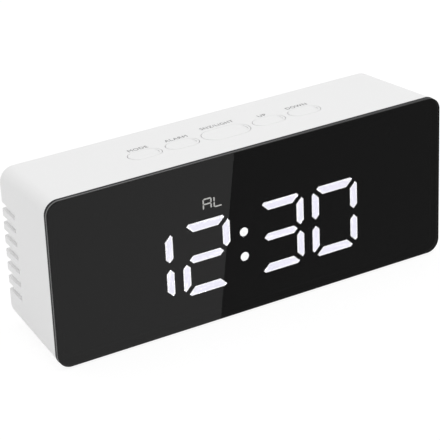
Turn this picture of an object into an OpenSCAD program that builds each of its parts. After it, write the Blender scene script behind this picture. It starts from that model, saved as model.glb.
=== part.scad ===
// Digital alarm clock with a mirror front, in millimetres.
// Origin at the bottom centre. The display faces -Y and +Z is up.

/* [Body] */
// Width of the front
body_w = 140; // [134:1:150]
// Height of the front
body_h = 54.4; // [54:0.2:60]
// Depth of the moulded housing behind the panel
housing_d = 34.4; // [33.6:0.2:40]
// Radius of the four long corners
corner_r = 4.7; // [3.5:0.1:6]
// How far each side draws in from front to rear
draft = 2; // [1:0.1:2.6]
// Wall of the housing
wall_t = 2.2; // [1.8:0.1:2.6]
// Rounding of the rear edge
rear_r = 0.8; // [0.4:0.1:1.2]

/* [Front] */
// Thickness of the mirror panel
panel_t = 2; // [1.5:0.1:3]
// Chamfer round the front of the panel
panel_chamfer = 0.35; // [0.1:0.05:0.6]
// Thickness of the tape under the panel
tape_t = 0.2; // [0.1:0.05:0.4]
// Lip of the housing outside the tape
tape_lip = 0.7; // [0.5:0.1:1]
// Side clearance of the tape in its rebate
tape_gap = 0.1; // [0.05:0.05:0.2]

/* [Display] */
// Middle of the display, sideways from the middle of the front
display_x = -3.6; // [-6:0.1:0]
// Middle of the digits, below the middle of the front
display_drop = 4.7; // [2:0.1:5]
// Width of one digit
digit_w = 17.46; // [16:0.1:18]
// Height of one digit
digit_h = 24.6; // [22:0.1:26]
// Distance between the two digits of a pair
digit_pitch = 20.15; // [19.6:0.05:21]
// Distance between the two digits beside the colon
colon_pitch = 26.9; // [25:0.1:28]
// Thickness of the top and bottom bars
bar_t = 3.35; // [2.6:0.05:3.6]
// Thickness of the middle bar
middle_t = 3; // [2.4:0.05:3.4]
// Thickness of the upright posts
post_t = 3.05; // [2.4:0.05:3.4]
// Gap between neighbouring segments
segment_gap = 1.15; // [0.9:0.05:1.4]
// Chamfer at the corners of a digit
digit_cut = 2.65; // [2:0.05:3]
// Rounding of the segment tips
tip_r = 0.3; // [0.1:0.05:0.4]
// Diameter of a colon dot
dot_d = 3.3; // [2.6:0.1:3.8]
// Distance between the colon dots
dot_pitch = 8.4; // [7:0.1:10]
// Middle of the alarm letters, sideways from the middle of the front
alarm_x = -14.2; // [-18:0.1:-10]
// Middle of the alarm letters, above the middle of the front
alarm_rise = 12.45; // [11:0.05:14]
// Width of one alarm letter
alarm_w = 3.1; // [2.6:0.1:3.4]
// Height of the alarm letters
alarm_h = 3.75; // [3.2:0.05:4.2]
// Distance between the alarm letters
alarm_pitch = 3.8; // [3.6:0.1:4.4]
// Stroke of the alarm letters
alarm_t = 0.4; // [0.3:0.05:0.5]

/* [Light box] */
// Depth of the light box
box_d = 6.3; // [5.6:0.1:7]
// Clearance of the light box in the housing
box_gap = 0.45; // [0.3:0.05:0.8]
// Thickness of a segment insert
insert_t = 1.2; // [0.8:0.1:1.6]
// Clearance round a segment insert
insert_gap = 0.06; // [0.04:0.01:0.1]
// Ledge that an insert sits on
insert_ledge = 0.35; // [0.2:0.05:0.5]
// Length of a segment light source
led_l = 2.8; // [2:0.1:3.2]
// Width of a segment light source
led_w = 1.2; // [0.8:0.1:1.4]
// Height of a segment light source
led_h = 0.8; // [0.6:0.05:1]
// Clearance round a light source
led_gap = 0.25; // [0.15:0.05:0.4]

/* [Boards] */
// Thickness of the main board
board_t = 1.6; // [1.2:0.1:2]
// Screws in from the left and right ends of the body
screw_inset_x = 18; // [16:0.5:19]
// Screws in from the top and bottom of the body
screw_inset_z = 8.7; // [8.2:0.1:9.4]
// Diameter of a screw shank
screw_d = 1.9; // [1.7:0.1:2.2]
// Length of a screw under its head
screw_l = 9.4; // [8:0.2:11]
// Diameter of a screw head
screw_head_d = 4.2; // [3.6:0.1:4.6]
// Height of a screw head
screw_head_h = 1.5; // [1:0.1:1.8]
// Radial clearance of a screw in its pilot hole
pilot_gap = 0.08; // [0.05:0.01:0.1]
// Radial clearance of a screw in a board
board_hole_gap = 0.3; // [0.2:0.05:0.4]
// Wall of a screw boss
boss_wall = 1.8; // [1.4:0.1:2.2]
// Flange of the light box under a screw head
box_flange_t = 1.8; // [1.4:0.1:2.4]
// Diameter of the buzzer
buzzer_d = 12; // [9:0.5:14]
// Height of the buzzer
buzzer_h = 8.5; // [6:0.5:9.5]
// Diameter of a capacitor
cap_d = 6.3; // [5:0.1:8]
// Height of a capacitor
cap_h = 7.7; // [5:0.1:9.5]
// Diameter of the thermistor bead
bead_d = 2.6; // [1.6:0.1:3]
// Length of the thermistor leads
bead_lead = 8; // [5:0.5:12]
// Length of the driver chip
chip_l = 17.9; // [17:0.1:20]
// Width of the driver chip
chip_w = 7.5; // [5:0.1:8]
// Height of the driver chip
chip_h = 2.3; // [1.5:0.1:2.6]

/* [Keys] */
// Middle of the keys behind the front of the panel
key_from_front = 17.1; // [16.6:0.1:17.6]
// Middle of the mode key, sideways from the middle of the body
mode_x = -27.9; // [-28.4:0.1:-27.7]
// Middle of the alarm key
alarm_key_x = -14.8; // [-15.1:0.1:-14.5]
// Middle of the snooze key
snooze_x = 0.8; // [0.6:0.1:1.1]
// Middle of the up key
up_x = 16.5; // [16.2:0.1:16.9]
// Middle of the down key
down_x = 29.7; // [29.3:0.1:31]
// Length of a small key
key_l = 10.9; // [9:0.1:11.2]
// Width of a small key
key_w = 6.2; // [5:0.1:7]
// Length of the wide key
wide_key_l = 16.2; // [14:0.1:16.4]
// Width of the wide key
wide_key_w = 9; // [8:0.1:9.6]
// Gap round a key in its opening
key_gap = 0.25; // [0.15:0.05:0.4]
// Flange of a key under the wall
key_flange = 0.6; // [0.5:0.05:0.7]
// Thickness of the flange in the middle
key_flange_t = 1.3; // [1:0.1:1.6]
// Gap between a flange and the wall at rest
key_rest_gap = 0.12; // [0.08:0.02:0.2]
// Depth of the finger dish of a key
dish_h = 0.3; // [0.1:0.05:0.4]
// Flat rim round the finger dish
dish_rim = 0.6; // [0.4:0.1:1]
// Diameter of a key stem
stem_d = 4; // [3:0.1:5]
// Length of a key stem under its flange
stem_h = 0.8; // [0.6:0.1:1.4]
// Travel of a key
key_travel = 0.5; // [0.3:0.05:0.6]
// Side of a switch body
switch_w = 6; // [5:0.1:6.2]
// Height of a switch body
switch_h = 3.5; // [3:0.1:4]
// Diameter of a switch plunger
plunger_d = 3.4; // [2.6:0.1:3.8]
// Plunger above the switch body at rest
plunger_out = 0.8; // [0.7:0.05:1.2]
// Plunger inside the switch body at rest
plunger_in = 1.4; // [1:0.1:2]
// Radial gap of a plunger in its body
plunger_gap = 0.15; // [0.1:0.05:0.25]
// Thickness of the key board
key_board_t = 1.2; // [1:0.1:1.6]
// Key board beyond the outer keys
key_board_end = 3; // [2.5:0.1:4]
// Depth of the rail grooves that take the board
rail_grip = 1.2; // [0.8:0.1:1.6]
// Thickness of a rail behind its groove
rail_t = 1.5; // [1.2:0.1:2]
// Clearance of the board in its rails
rail_gap = 0.15; // [0.1:0.05:0.25]
// Pins in the board header
header_pins = 7; // [5:1:9]
// Distance between the header pins
header_pitch = 2.54; // [2:0.01:2.54]

/* [Battery bay] */
// Diameter of a battery
cell_d = 10.5; // [9.8:0.1:10.6]
// Length of a battery with its tip
cell_l = 44.5; // [43.5:0.1:45]
// Diameter of a battery tip
cell_tip_d = 3.8; // [3:0.1:4]
// Length of a battery tip
cell_tip_l = 1; // [0.8:0.1:1.4]
// Gap between neighbouring batteries
cell_gap = 0.7; // [0.4:0.05:0.8]
// Gap between a battery and the bay or the door
cell_play = 0.4; // [0.3:0.05:0.5]
// Room for the springs at the end of a battery
spring_room = 5.9; // [5:0.1:7]
// Wall of the battery bay
bay_wall = 1.5; // [1.2:0.1:1.8]
// Thickness of the sheet of the contacts
contact_t = 0.4; // [0.3:0.05:0.6]
// Width of a contact
contact_w = 8; // [6:0.5:9]
// Height of the bump under a battery tip
bump_h = 0.6; // [0.4:0.1:1]
// Gap between a contact and its battery
contact_gap = 0.15; // [0.1:0.05:0.25]
// Diameter of a lead
lead_d = 1.2; // [0.8:0.1:1.6]

/* [Battery door] */
// Thickness of the door
door_t = 1.8; // [1.5:0.1:2.2]
// Overlap of the door on the bay walls
door_lap = 1.2; // [0.9:0.1:1.4]
// Gap round the door
door_gap = 0.25; // [0.2:0.05:0.4]
// Gap behind the door
door_seat_gap = 0.15; // [0.1:0.05:0.25]
// Width of a hinge tab
tab_w = 7; // [5:0.5:9]
// Thickness of a hinge tab
tab_t = 0.8; // [0.6:0.05:0.9]
// Reach of a hinge tab below the door
tab_reach = 1.6; // [1.2:0.1:2]
// Hinge tabs from the middle of the door
tab_x = 16; // [12:0.5:19]
// Opening angle of the door
door_angle = 40; // [20:5:45]
// Width of the snap arm
snap_w = 8; // [6:0.5:10]
// Length of the snap arm inside the bay
snap_l = 2; // [1.6:0.1:2.2]
// Thickness of the snap arm
snap_t = 0.8; // [0.6:0.1:0.9]
// Diameter of the thumb scoop
scoop_d = 11; // [8:0.5:14]
// Depth of the thumb scoop
scoop_h = 0.6; // [0.3:0.1:0.8]

/* [Power inlet] */
// Middle of the power inlet, sideways from the middle of the room beside the bay
inlet_x = 0; // [-2:0.1:2]
// Middle of the power inlet above the bottom of the body
inlet_rise = 13.5; // [12:0.5:16]
// Width of the inlet shell
inlet_w = 7.5; // [7:0.1:8]
// Height of the inlet shell
inlet_h = 2.6; // [2.4:0.1:3]
// Depth of the inlet shell
inlet_d = 6.4; // [6:0.1:8]
// Sheet of the inlet shell
inlet_t = 0.3; // [0.2:0.05:0.4]
// Inlet mouth below the rear face
inlet_sink = 0.4; // [0.2:0.1:0.8]
// Gap round the inlet in the rear wall
inlet_gap = 0.3; // [0.2:0.05:0.5]
// Width of the power board
power_w = 10; // [9:0.5:12]
// Height of the power board
power_h = 13; // [12.5:0.5:15]
// Thickness of the power board
power_t = 1.2; // [1:0.1:1.6]
// Distance between its upper and its lower screw
power_screw_pitch = 8.8; // [8.4:0.1:9.6]

/* [Vents and feet] */
// Vent slots at each rear corner
vent_count = 7; // [4:1:7]
// Height of a vent slot
vent_h = 2.3; // [1.6:0.1:2.6]
// Distance between vent slots
vent_pitch = 4.57; // [4:0.01:4.8]
// Middle of the vents below the middle of the body
vent_drop = 0.6; // [0:0.1:1]
// Length of a vent slot along the side and the rear
vent_l = 10.6; // [8:0.1:11.4]
// Corner radius at the end of a vent slot
vent_r = 0.45; // [0.2:0.05:0.7]
// Diameter of a foot
foot_d = 8; // [6:0.5:9]
// Height of the front edge of the body above the table
foot_drop = 0.6; // [0.4:0.1:1.5]
// Recess of a foot in the base
foot_recess = 0.7; // [0.5:0.1:0.9]
// Feet from the left and right ends
foot_inset_x = 15; // [12:0.5:20]
// Feet from the front and the rear
foot_inset_y = 7.5; // [7:0.5:10]

/* [Hidden] */
// Fineness of true circles, of the circles inside a hull and of the segment tips
$fn = 64;
hull_fn = 32;
tip_fn = 24;
// Overshoot of a cut past the face it opens
over = 1;
// Depth to which a rib is buried in the wall it grows from
bury = 0.6;
// Thin plate that stands for one section of the drafted form
skin = 0.02;

front_y = -(panel_t + housing_d) / 2;
rim_y = front_y + panel_t;
rear_y = rim_y + housing_d;
body_z = foot_drop + body_h / 2;

function draft_at(y) = draft * (y - rim_y) / housing_d;
function top_z(y) = body_z + body_h / 2 - draft_at(y);
function base_z(y) = body_z - body_h / 2 + draft_at(y);

inner_rear_y = rear_y - wall_t;
board_y = rim_y + box_d;
board_back = board_y + board_t;
screw_x = body_w / 2 - screw_inset_x;
screw_z = body_h / 2 - screw_inset_z;
boss_d = screw_d + 2 * pilot_gap + 2 * boss_wall;
box_inset = wall_t + draft_at(board_back) + box_gap;
box_r = max(corner_r - wall_t, 0.6);

display_z = body_z - display_drop;
alarm_z = body_z + alarm_rise;
digit_x = [
    display_x - colon_pitch / 2 - digit_pitch,
    display_x - colon_pitch / 2,
    display_x + colon_pitch / 2,
    display_x + colon_pitch / 2 + digit_pitch
];
// Segments in the order top, upper right, lower right, bottom, lower left, upper left, middle
lit_on_digit = [[1, 2], [0, 1, 3, 4, 6], [0, 1, 2, 3, 6], [0, 1, 2, 3, 4, 5]];
dark_on_digit = [[0, 3, 4, 5, 6], [2, 5], [4, 5], [6]];
lit_on_alarm = [[0, 1, 2, 4, 5, 6], [3, 4, 5]];
alarm_letter_x = [alarm_x - alarm_pitch / 2, alarm_x + alarm_pitch / 2];

bay_l = cell_l + spring_room;
bay_h = 3 * cell_d + 2 * cell_gap + 2 * cell_play;
door_y = rear_y - door_t;
cell_y = door_y - cell_play - cell_d / 2;
bay_floor_y = cell_y - cell_d / 2 - cell_play;
bay_front_y = bay_floor_y - bay_wall;
cell_pitch = cell_d + cell_gap;
bay_top_z = body_z + bay_h / 2;
bay_bottom_z = body_z - bay_h / 2;
door_w = bay_l + 2 * door_lap;
door_h = bay_h + 2 * door_lap;
door_bottom_z = body_z - door_h / 2;
hinge_y = door_y + door_t / 2;
hinge_z = door_bottom_z + door_t / 2;
contact_tab_w = 2;
contact_tab_out = 1.5;
cradle_w = 1.2;
cradle_h = 2;
cell_shoulder = 0.5;
tip_x = bay_l / 2 - contact_t - bump_h - contact_gap;
tab_clear = 0.2;
tab_swing = (tab_reach + door_t / 2) * sin(door_angle) + tab_clear;
door_corner_r = 1.5;
snap_clear = 0.25;
scoop_r = (scoop_d * scoop_d / 4 + scoop_h * scoop_h) / (2 * scoop_h);

key_y = front_y + key_from_front;
key_x = [mode_x, alarm_key_x, snooze_x, up_x, down_x];
key_len = [key_l, key_l, wide_key_l, key_l, key_l];
key_wid = [key_w, key_w, wide_key_w, key_w, key_w];
flange_z = top_z(key_y) - wall_t - key_rest_gap - key_flange_t;
stem_z = flange_z - stem_h;
key_board_top = stem_z - plunger_out - switch_h;
key_board_z = key_board_top - key_board_t;
key_board_back = bay_front_y - rail_gap;
key_board_left = mode_x - key_l / 2 - key_board_end;
key_board_right = down_x + key_l / 2 + key_board_end;
shelf_reach = 1.8;
shelf_t = 1.2;
shelf_l = 40;
header_w = 2.5;
header_pin_w = 0.64;
header_pin_out = 1.2;

inlet_z = body_z - body_h / 2 + inlet_rise;
inlet_mouth_y = rear_y - inlet_sink;
power_y = inlet_mouth_y - inlet_d;
inlet_mid_x = (bay_l / 2 + bay_wall + screw_x - boss_d / 2) / 2 + inlet_x;
power_screw_rise = power_screw_pitch / 2;
power_screw_d = 1.5;
power_screw_l = 4.2;
power_head_d = 2.6;
power_head_h = 1;
power_boss_wall = 1;
small_part_gap = 0.3;
inlet_r = 0.8;
tongue_w = 3.8;
tongue_t = 0.6;
tongue_back = 1.1;
tongue_short = 0.8;
inlet_lead_pitch = 6.4;
inlet_lead_rise = 3;

foot_x = body_w / 2 - foot_inset_x;
foot_front_y = rim_y + foot_inset_y;
foot_rear_y = rear_y - foot_inset_y;
foot_edge = 0.4;

// Places and small forms of the parts soldered on the main board
chip_drop = 2;
chip_z = body_z - chip_drop;
chip_pin_pitch = 1.27;
chip_pins = floor(chip_l / chip_pin_pitch);
chip_pin_w = 0.42;
chip_pin_reach = 1.4;
chip_pin_t = 0.3;
chip_lift = 0.1;
crystal_gap = 2.8;
crystal_l = 10.5;
crystal_x = -(chip_l + crystal_l) / 2 - crystal_gap;
crystal_w = 3.8;
crystal_h = 3.4;
crystal_base_t = 0.5;
crystal_rim = 0.5;
cap_gap = 1.8;
cap_drop = 9;
cap_first_x = (chip_l + cap_d) / 2 + cap_gap;
cap_base_t = 1;
cap_groove = 0.3;
buzzer_from_screw = 10;
buzzer_drop = 6;
buzzer_hole_d = 2;
buzzer_edge = 0.6;
bead_from_screw = 7;
bead_drop = 12;
bead_lead_d = 0.5;

// Flat shapes, drawn with X across and Y up

module rounded_rect(w, h, r) {
    square([w - 2 * r, h], center = true);
    square([w, h - 2 * r], center = true);
    for (sx = [-1, 1], sy = [-1, 1])
        translate([sx * (w / 2 - r), sy * (h / 2 - r)])
            circle(r);
}

module stadium(l, w) {
    square([l - w, w], center = true);
    for (s = [-1, 1])
        translate([s * (l - w) / 2, 0])
            circle(w / 2);
}

// Raises a flat shape along Y, from y0 to y1, with its own Y axis upright
module along_y(y0, y1)
    translate([0, y1, 0])
        rotate([90, 0, 0])
            linear_extrude(y1 - y0)
                children();

// Lays a cylinder along Y, from y0 to y1
module rod_y(x, z, d, y0, y1)
    translate([x, y1, z])
        rotate([90, 0, 0])
            cylinder(d = d, h = y1 - y0);

// Corner of a segment where two 45 degree edges meet near a corner of the digit
function lean(gap) = gap / sqrt(2);

// Half of a top bar, from its outer tip to its inner corner
function bar_points(w, h, t, gap, cut) = [
    [w / 2 - cut, h / 2],
    [w / 2 - (cut + lean(gap)) / 2, h / 2 - (cut - lean(gap)) / 2],
    [w / 2 - lean(gap) - t, h / 2 - t]
];

function upper_post_points(w, h, t, gap, cut) = [
    [w / 2, h / 2 - cut],
    [w / 2 - (cut - lean(gap)) / 2, h / 2 - (cut + lean(gap)) / 2],
    [w / 2 - t, h / 2 - lean(gap) - t],
    [w / 2 - t, lean(gap) + t / 2],
    [w / 2 - t / 2, lean(gap)],
    [w / 2, lean(gap) + t / 2]
];

function middle_points(w, post, t, gap) = [
    [w / 2 - post / 2 - lean(gap), 0],
    [w / 2 - post / 2 - lean(gap) - t / 2, t / 2]
];

function mirror_x(points) = [for (i = [len(points) - 1:-1:0]) [-points[i][0], points[i][1]]];
function turn_half(points) = [for (p = points) -p];

// One segment of a digit that is centred on the origin
module segment(which, w, h, bar, middle, post, gap, cut) {
    half_bar = bar_points(w, h, bar, gap, cut);
    half_middle = middle_points(w, post, middle, gap);
    flip_x = which == 4 || which == 5 ? -1 : 1;
    flip_y = which == 2 || which == 3 || which == 4 ? -1 : 1;
    scale([flip_x, flip_y])
        if (which == 0 || which == 3)
            polygon(concat(half_bar, mirror_x(half_bar)));
        else if (which == 6)
            polygon(concat(
                half_middle,
                mirror_x([half_middle[1]]),
                turn_half(half_middle),
                turn_half(mirror_x([half_middle[1]]))
            ));
        else
            polygon(upper_post_points(w, h, post, gap, cut));
}

module digit_segment(which)
    offset(r = tip_r, $fn = tip_fn)
        offset(delta = -tip_r)
            segment(which, digit_w, digit_h, bar_t, middle_t, post_t, segment_gap, digit_cut);

module alarm_segment(which)
    segment(which, alarm_w, alarm_h, alarm_t, alarm_t, alarm_t, alarm_t / 3, alarm_t);

// Middle of a segment, where its light source sits
function segment_mid(which) =
    which == 0 || which == 3 ? [0, (which == 0 ? 1 : -1) * (digit_h - bar_t) / 2] :
    which == 6 ? [0, 0] :
    [(which < 3 ? 1 : -1) * (digit_w - post_t) / 2,
        (which == 1 || which == 5 ? 1 : -1) * (digit_h - digit_cut) / 4];

function is_post(which) = which == 1 || which == 2 || which == 4 || which == 5;

dot_places = [for (s = [1, -1]) [display_x, display_z + s * dot_pitch / 2]];

// Drafted form of the body

module form_section(y, inset, r)
    translate([0, 0, body_z])
        along_y(y - skin, y)
            rounded_rect(body_w - 2 * inset, body_h - 2 * inset, r, $fn = hull_fn);

module outer_form()
    hull() {
        form_section(rim_y + skin, 0, corner_r);
        for (a = [0:30:90])
            form_section(
                rear_y - rear_r * (1 - sin(a)),
                draft_at(rear_y - rear_r * (1 - sin(a))) + rear_r * (1 - cos(a)),
                corner_r - rear_r * (1 - cos(a))
            );
    }

module inner_form(y0 = rim_y - over)
    hull() {
        form_section(y0 + skin, wall_t + draft_at(y0), box_r);
        form_section(inner_rear_y, wall_t + draft_at(inner_rear_y), box_r);
    }

// Features inside the housing

module screw_bosses()
    for (sx = [-1, 1], sz = [-1, 1])
        translate([sx * screw_x, 0, body_z + sz * screw_z]) {
            rod_y(0, 0, boss_d, board_back, inner_rear_y + bury);
            gusset(sz);
        }

// Rib from a boss to the nearest long wall
module gusset(side) {
    length = inner_rear_y + bury - bay_floor_y;
    reach = body_h / 2 - screw_z;
    translate([-bay_wall / 2, bay_floor_y, min(0, side * reach)])
        cube([bay_wall, length, reach]);
}

module power_bosses()
    for (s = [-1, 1])
        rod_y(
            inlet_mid_x,
            inlet_z + s * power_screw_rise,
            power_screw_d + 2 * pilot_gap + 2 * power_boss_wall,
            power_y,
            inner_rear_y + bury
        );

module bay_box(grow, y0, y1)
    translate([-bay_l / 2 - grow, y0, bay_bottom_z - grow])
        cube([bay_l + 2 * grow, y1 - y0, bay_h + 2 * grow]);

module cell_cradles()
    for (s = [-1, 1])
        translate([-bay_l / 4, bay_floor_y - bury, body_z + s * cell_pitch / 2 - cradle_w / 2])
            cube([bay_l / 2, cradle_h + bury, cradle_w]);

module key_rail(end_x, side) {
    rail_y0 = board_back + rail_gap;
    rail_l = key_board_back - rail_y0;
    rail_z0 = key_board_z - rail_t;
    inner_x = end_x - side * rail_grip;
    outer_x = end_x + side * (rail_t + rail_gap);
    difference() {
        translate([min(inner_x, outer_x), rail_y0, rail_z0])
            cube([abs(outer_x - inner_x), rail_l, top_z(key_board_back) - rail_z0 - bury]);
        translate([min(inner_x - side * over, end_x + side * rail_gap), rail_y0 - over, key_board_z])
            cube([rail_grip + rail_gap + over, rail_l + 2 * over, key_board_t + rail_gap]);
    }
}

module key_shelf()
    translate([-shelf_l / 2, bay_front_y - shelf_reach, key_board_z - shelf_t])
        cube([shelf_l, shelf_reach + bury, shelf_t]);

module housing_features() {
    screw_bosses();
    power_bosses();
    bay_box(bay_wall, bay_front_y, inner_rear_y + bury);
    key_rail(key_board_left, -1);
    key_rail(key_board_right, 1);
    key_shelf();
}

// Cuts in the housing

module key_openings()
    for (i = [0:4])
        translate([key_x[i], key_y, flange_z])
            linear_extrude(body_h / 2)
                stadium(key_len[i] + 2 * key_gap, key_wid[i] + 2 * key_gap);

module vent_slots() {
    slot_corner_x = body_w / 2 - draft;
    for (s = [-1, 1], i = [0:vent_count - 1])
        translate([0, 0, body_z - vent_drop + (i - (vent_count - 1) / 2) * vent_pitch]) {
            translate([s * slot_corner_x - vent_l, rear_y - vent_l, 0])
                rotate([90, 0, 90])
                    linear_extrude(2 * vent_l)
                        translate([vent_l, 0])
                            rounded_rect(2 * vent_l, vent_h, vent_r);
            translate([s * slot_corner_x, 0, 0])
                along_y(rear_y - vent_l, rear_y + over)
                    rounded_rect(2 * vent_l, vent_h, vent_r);
        }
}

module tape_ring(outer_inset, inner_inset, t)
    translate([0, 0, body_z])
        along_y(rim_y, rim_y + t)
            difference() {
                rounded_rect(body_w - 2 * outer_inset, body_h - 2 * outer_inset, corner_r - outer_inset);
                rounded_rect(body_w - 2 * inner_inset, body_h - 2 * inner_inset, box_r);
            }

module tape_rebate()
    translate([0, 0, body_z])
        along_y(rim_y - over, rim_y + tape_t)
            rounded_rect(body_w - 2 * tape_lip, body_h - 2 * tape_lip, corner_r - tape_lip);

module screw_pilots() {
    for (sx = [-1, 1], sz = [-1, 1])
        rod_y(
            sx * screw_x,
            body_z + sz * screw_z,
            screw_d + 2 * pilot_gap,
            board_back - over,
            board_back + screw_l
        );
    for (s = [-1, 1])
        rod_y(
            inlet_mid_x,
            inlet_z + s * power_screw_rise,
            power_screw_d + 2 * pilot_gap,
            power_y - over,
            power_y + power_screw_l
        );
}

module door_rebate() {
    translate([0, 0, body_z])
        along_y(door_y - door_seat_gap, rear_y + over)
            rounded_rect(door_w + 2 * door_gap, door_h + 2 * door_gap, door_corner_r + door_gap);
    for (s = [-1, 1])
        translate([s * tab_x, door_y - tab_swing, door_bottom_z - tab_reach - door_gap])
            translate([-tab_w / 2 - door_gap, 0, 0])
                cube([
                    tab_w + 2 * door_gap,
                    tab_swing + tab_t + tab_clear,
                    tab_reach + door_gap + door_lap + over
                ]);
}

module contact_slots()
    for (s = [-1, 1])
        translate([
            s * (bay_l / 2 - contact_t) - contact_t,
            bay_front_y - over,
            body_z + s * cell_pitch - contact_tab_w / 2 - rail_gap
        ])
            cube([2 * contact_t, bay_wall + 2 * over, contact_tab_w + 2 * rail_gap]);

module inlet_opening()
    translate([inlet_mid_x, 0, inlet_z])
        along_y(power_y, rear_y + over)
            rounded_rect(inlet_w + 2 * inlet_gap, inlet_h + 2 * inlet_gap, inlet_r + inlet_gap);

module foot_recesses()
    for (sx = [-1, 1], y = [foot_front_y, foot_rear_y])
        translate([sx * foot_x, y, 0])
            cylinder(d = foot_d + 2 * small_part_gap, h = base_z(y) + foot_recess);

module housing()
    color("#ECECEC")
        difference() {
            union() {
                difference() {
                    outer_form();
                    inner_form();
                }
                intersection() {
                    housing_features();
                    outer_form();
                }
            }
            difference() {
                bay_box(0, bay_floor_y, rear_y + over);
                cell_cradles();
            }
            door_rebate();
            key_openings();
            vent_slots();
            tape_rebate();
            screw_pilots();
            contact_slots();
            inlet_opening();
            foot_recesses();
        }

// Slab with rounded corners and a chamfer round its front face
module chamfered_slab(w, h, r, t, c) {
    for (sx = [-1, 1], sz = [-1, 1])
        translate([sx * (w / 2 - r), 0, sz * (h / 2 - r)])
            rotate([-90, 0, 0])
                rotate_extrude()
                    polygon([[0, 0], [r - c, 0], [r, c], [r, t], [0, t]]);
    translate([-(w / 2 - r), 0, 0])
        rotate([90, 0, 90])
            linear_extrude(w - 2 * r)
                slab_profile(h, t, c);
    translate([0, 0, -(h / 2 - r)])
        linear_extrude(h - 2 * r)
            mirror([1, -1, 0])
                slab_profile(w, t, c);
}

// Section of the slab: X is its depth and Y its width
module slab_profile(w, t, c)
    polygon([[0, c - w / 2], [c, -w / 2], [t, -w / 2], [t, w / 2], [c, w / 2], [0, w / 2 - c]]);

module mirror_panel()
    color("#1C1C1E")
        translate([0, front_y, body_z])
            chamfered_slab(body_w, body_h, corner_r, panel_t, panel_chamfer);

module panel_tape()
    color("#3A3A3C")
        tape_ring(tape_lip + tape_gap, wall_t, tape_t);

// Tapered chamber from a segment to its light source
module chamber(mid, upright) {
    window_l = led_l + 2 * led_gap;
    window_w = led_w + 2 * led_gap;
    throat = box_d - insert_t;
    side = upright ? (digit_h - digit_cut) / 2 : digit_w - 2 * post_t;
    front_l = side - 2 * segment_gap;
    front_w = min(bar_t, post_t, middle_t) - 2 * insert_ledge;
    taper = [window_l / front_l, window_w / front_w];
    translate([mid[0], rim_y + insert_t - skin, mid[1]])
        rotate([-90, upright ? 90 : 0, 0])
            linear_extrude(throat + 2 * skin, scale = taper, slices = 1, $fn = 4)
                square([front_l, front_w], center = true);
}

module segment_pockets(depth)
    translate([0, 0, display_z])
        for (d = [0:3], k = [0:6])
            translate([digit_x[d], 0, 0])
                along_y(rim_y - over, rim_y + depth)
                    offset(delta = insert_gap)
                        digit_segment(k);

module light_box()
    color("#161616")
        difference() {
            translate([0, 0, body_z])
                along_y(rim_y, board_y)
                    rounded_rect(body_w - 2 * box_inset, body_h - 2 * box_inset, box_r);
            segment_pockets(insert_t);
            for (d = [0:3], k = [0:6])
                chamber([digit_x[d], display_z] + segment_mid(k), is_post(k));
            for (p = dot_places) {
                rod_y(p[0], p[1], dot_d + 2 * insert_gap, rim_y - over, rim_y + insert_t);
                rod_y(p[0], p[1], dot_d - 2 * insert_ledge, rim_y, board_y + over);
            }
            for (i = [0:1]) {
                for (k = lit_on_alarm[i])
                    translate([alarm_letter_x[i], 0, alarm_z])
                        along_y(rim_y - over, rim_y + insert_t)
                            offset(delta = insert_gap)
                                alarm_segment(k);
                translate([alarm_letter_x[i], rim_y + insert_t + alarm_t, alarm_z])
                    rotate([-90, 0, 0])
                        linear_extrude(box_d)
                            square([alarm_w - alarm_t, alarm_h - alarm_t], center = true);
            }
            for (sx = [-1, 1], sz = [-1, 1]) {
                rod_y(
                    sx * screw_x,
                    body_z + sz * screw_z,
                    screw_head_d + 2 * small_part_gap,
                    rim_y - over,
                    board_y - box_flange_t
                );
                rod_y(
                    sx * screw_x,
                    body_z + sz * screw_z,
                    screw_d + 2 * board_hole_gap,
                    rim_y,
                    board_y + over
                );
            }
        }

module digit_inserts(choice)
    for (d = [0:3], k = choice[d])
        translate([digit_x[d], 0, display_z])
            along_y(rim_y, rim_y + insert_t)
                digit_segment(k);

module lit_segments()
    color("#F3F0FF")
        digit_inserts(lit_on_digit);

module unlit_segments()
    color("#8E8E92")
        digit_inserts(dark_on_digit);

module colon_dots()
    color("#F3F0FF")
        for (p = dot_places)
            rod_y(p[0], p[1], dot_d, rim_y, rim_y + insert_t);

module alarm_indicator()
    color("#D8D8D0")
        for (i = [0:1], k = lit_on_alarm[i])
            translate([alarm_letter_x[i], 0, alarm_z])
                along_y(rim_y, rim_y + insert_t)
                    alarm_segment(k);

module led(x, z, upright)
    translate([x, board_y - led_h / 2, z])
        cube(upright ? [led_w, led_h, led_l] : [led_l, led_h, led_w], center = true);

module segment_leds()
    color("#F0E7B8") {
        for (d = [0:3], k = [0:6]) {
            mid = [digit_x[d], display_z] + segment_mid(k);
            led(mid[0], mid[1], is_post(k));
        }
        for (p = dot_places)
            translate([p[0], board_y - led_h / 2, p[1]])
                cube([led_w, led_h, led_w], center = true);
        for (x = alarm_letter_x)
            translate([x, board_y - led_h / 2, alarm_z])
                cube([led_w, led_h, led_w], center = true);
    }

module main_board()
    color("#1F5B3A")
        difference() {
            translate([0, 0, body_z])
                along_y(board_y, board_back)
                    rounded_rect(body_w - 2 * box_inset, body_h - 2 * box_inset, box_r);
            for (sx = [-1, 1], sz = [-1, 1])
                rod_y(
                    sx * screw_x,
                    body_z + sz * screw_z,
                    screw_d + 2 * board_hole_gap,
                    board_y - over,
                    board_back + over
                );
        }

module board_screws()
    color("silver")
        for (sx = [-1, 1], sz = [-1, 1]) {
            head_y = board_y - box_flange_t;
            rod_y(sx * screw_x, body_z + sz * screw_z, screw_head_d, head_y - screw_head_h, head_y);
            rod_y(sx * screw_x, body_z + sz * screw_z, screw_d, head_y, head_y + screw_l);
        }

// Parts soldered on the rear of the main board

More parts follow.
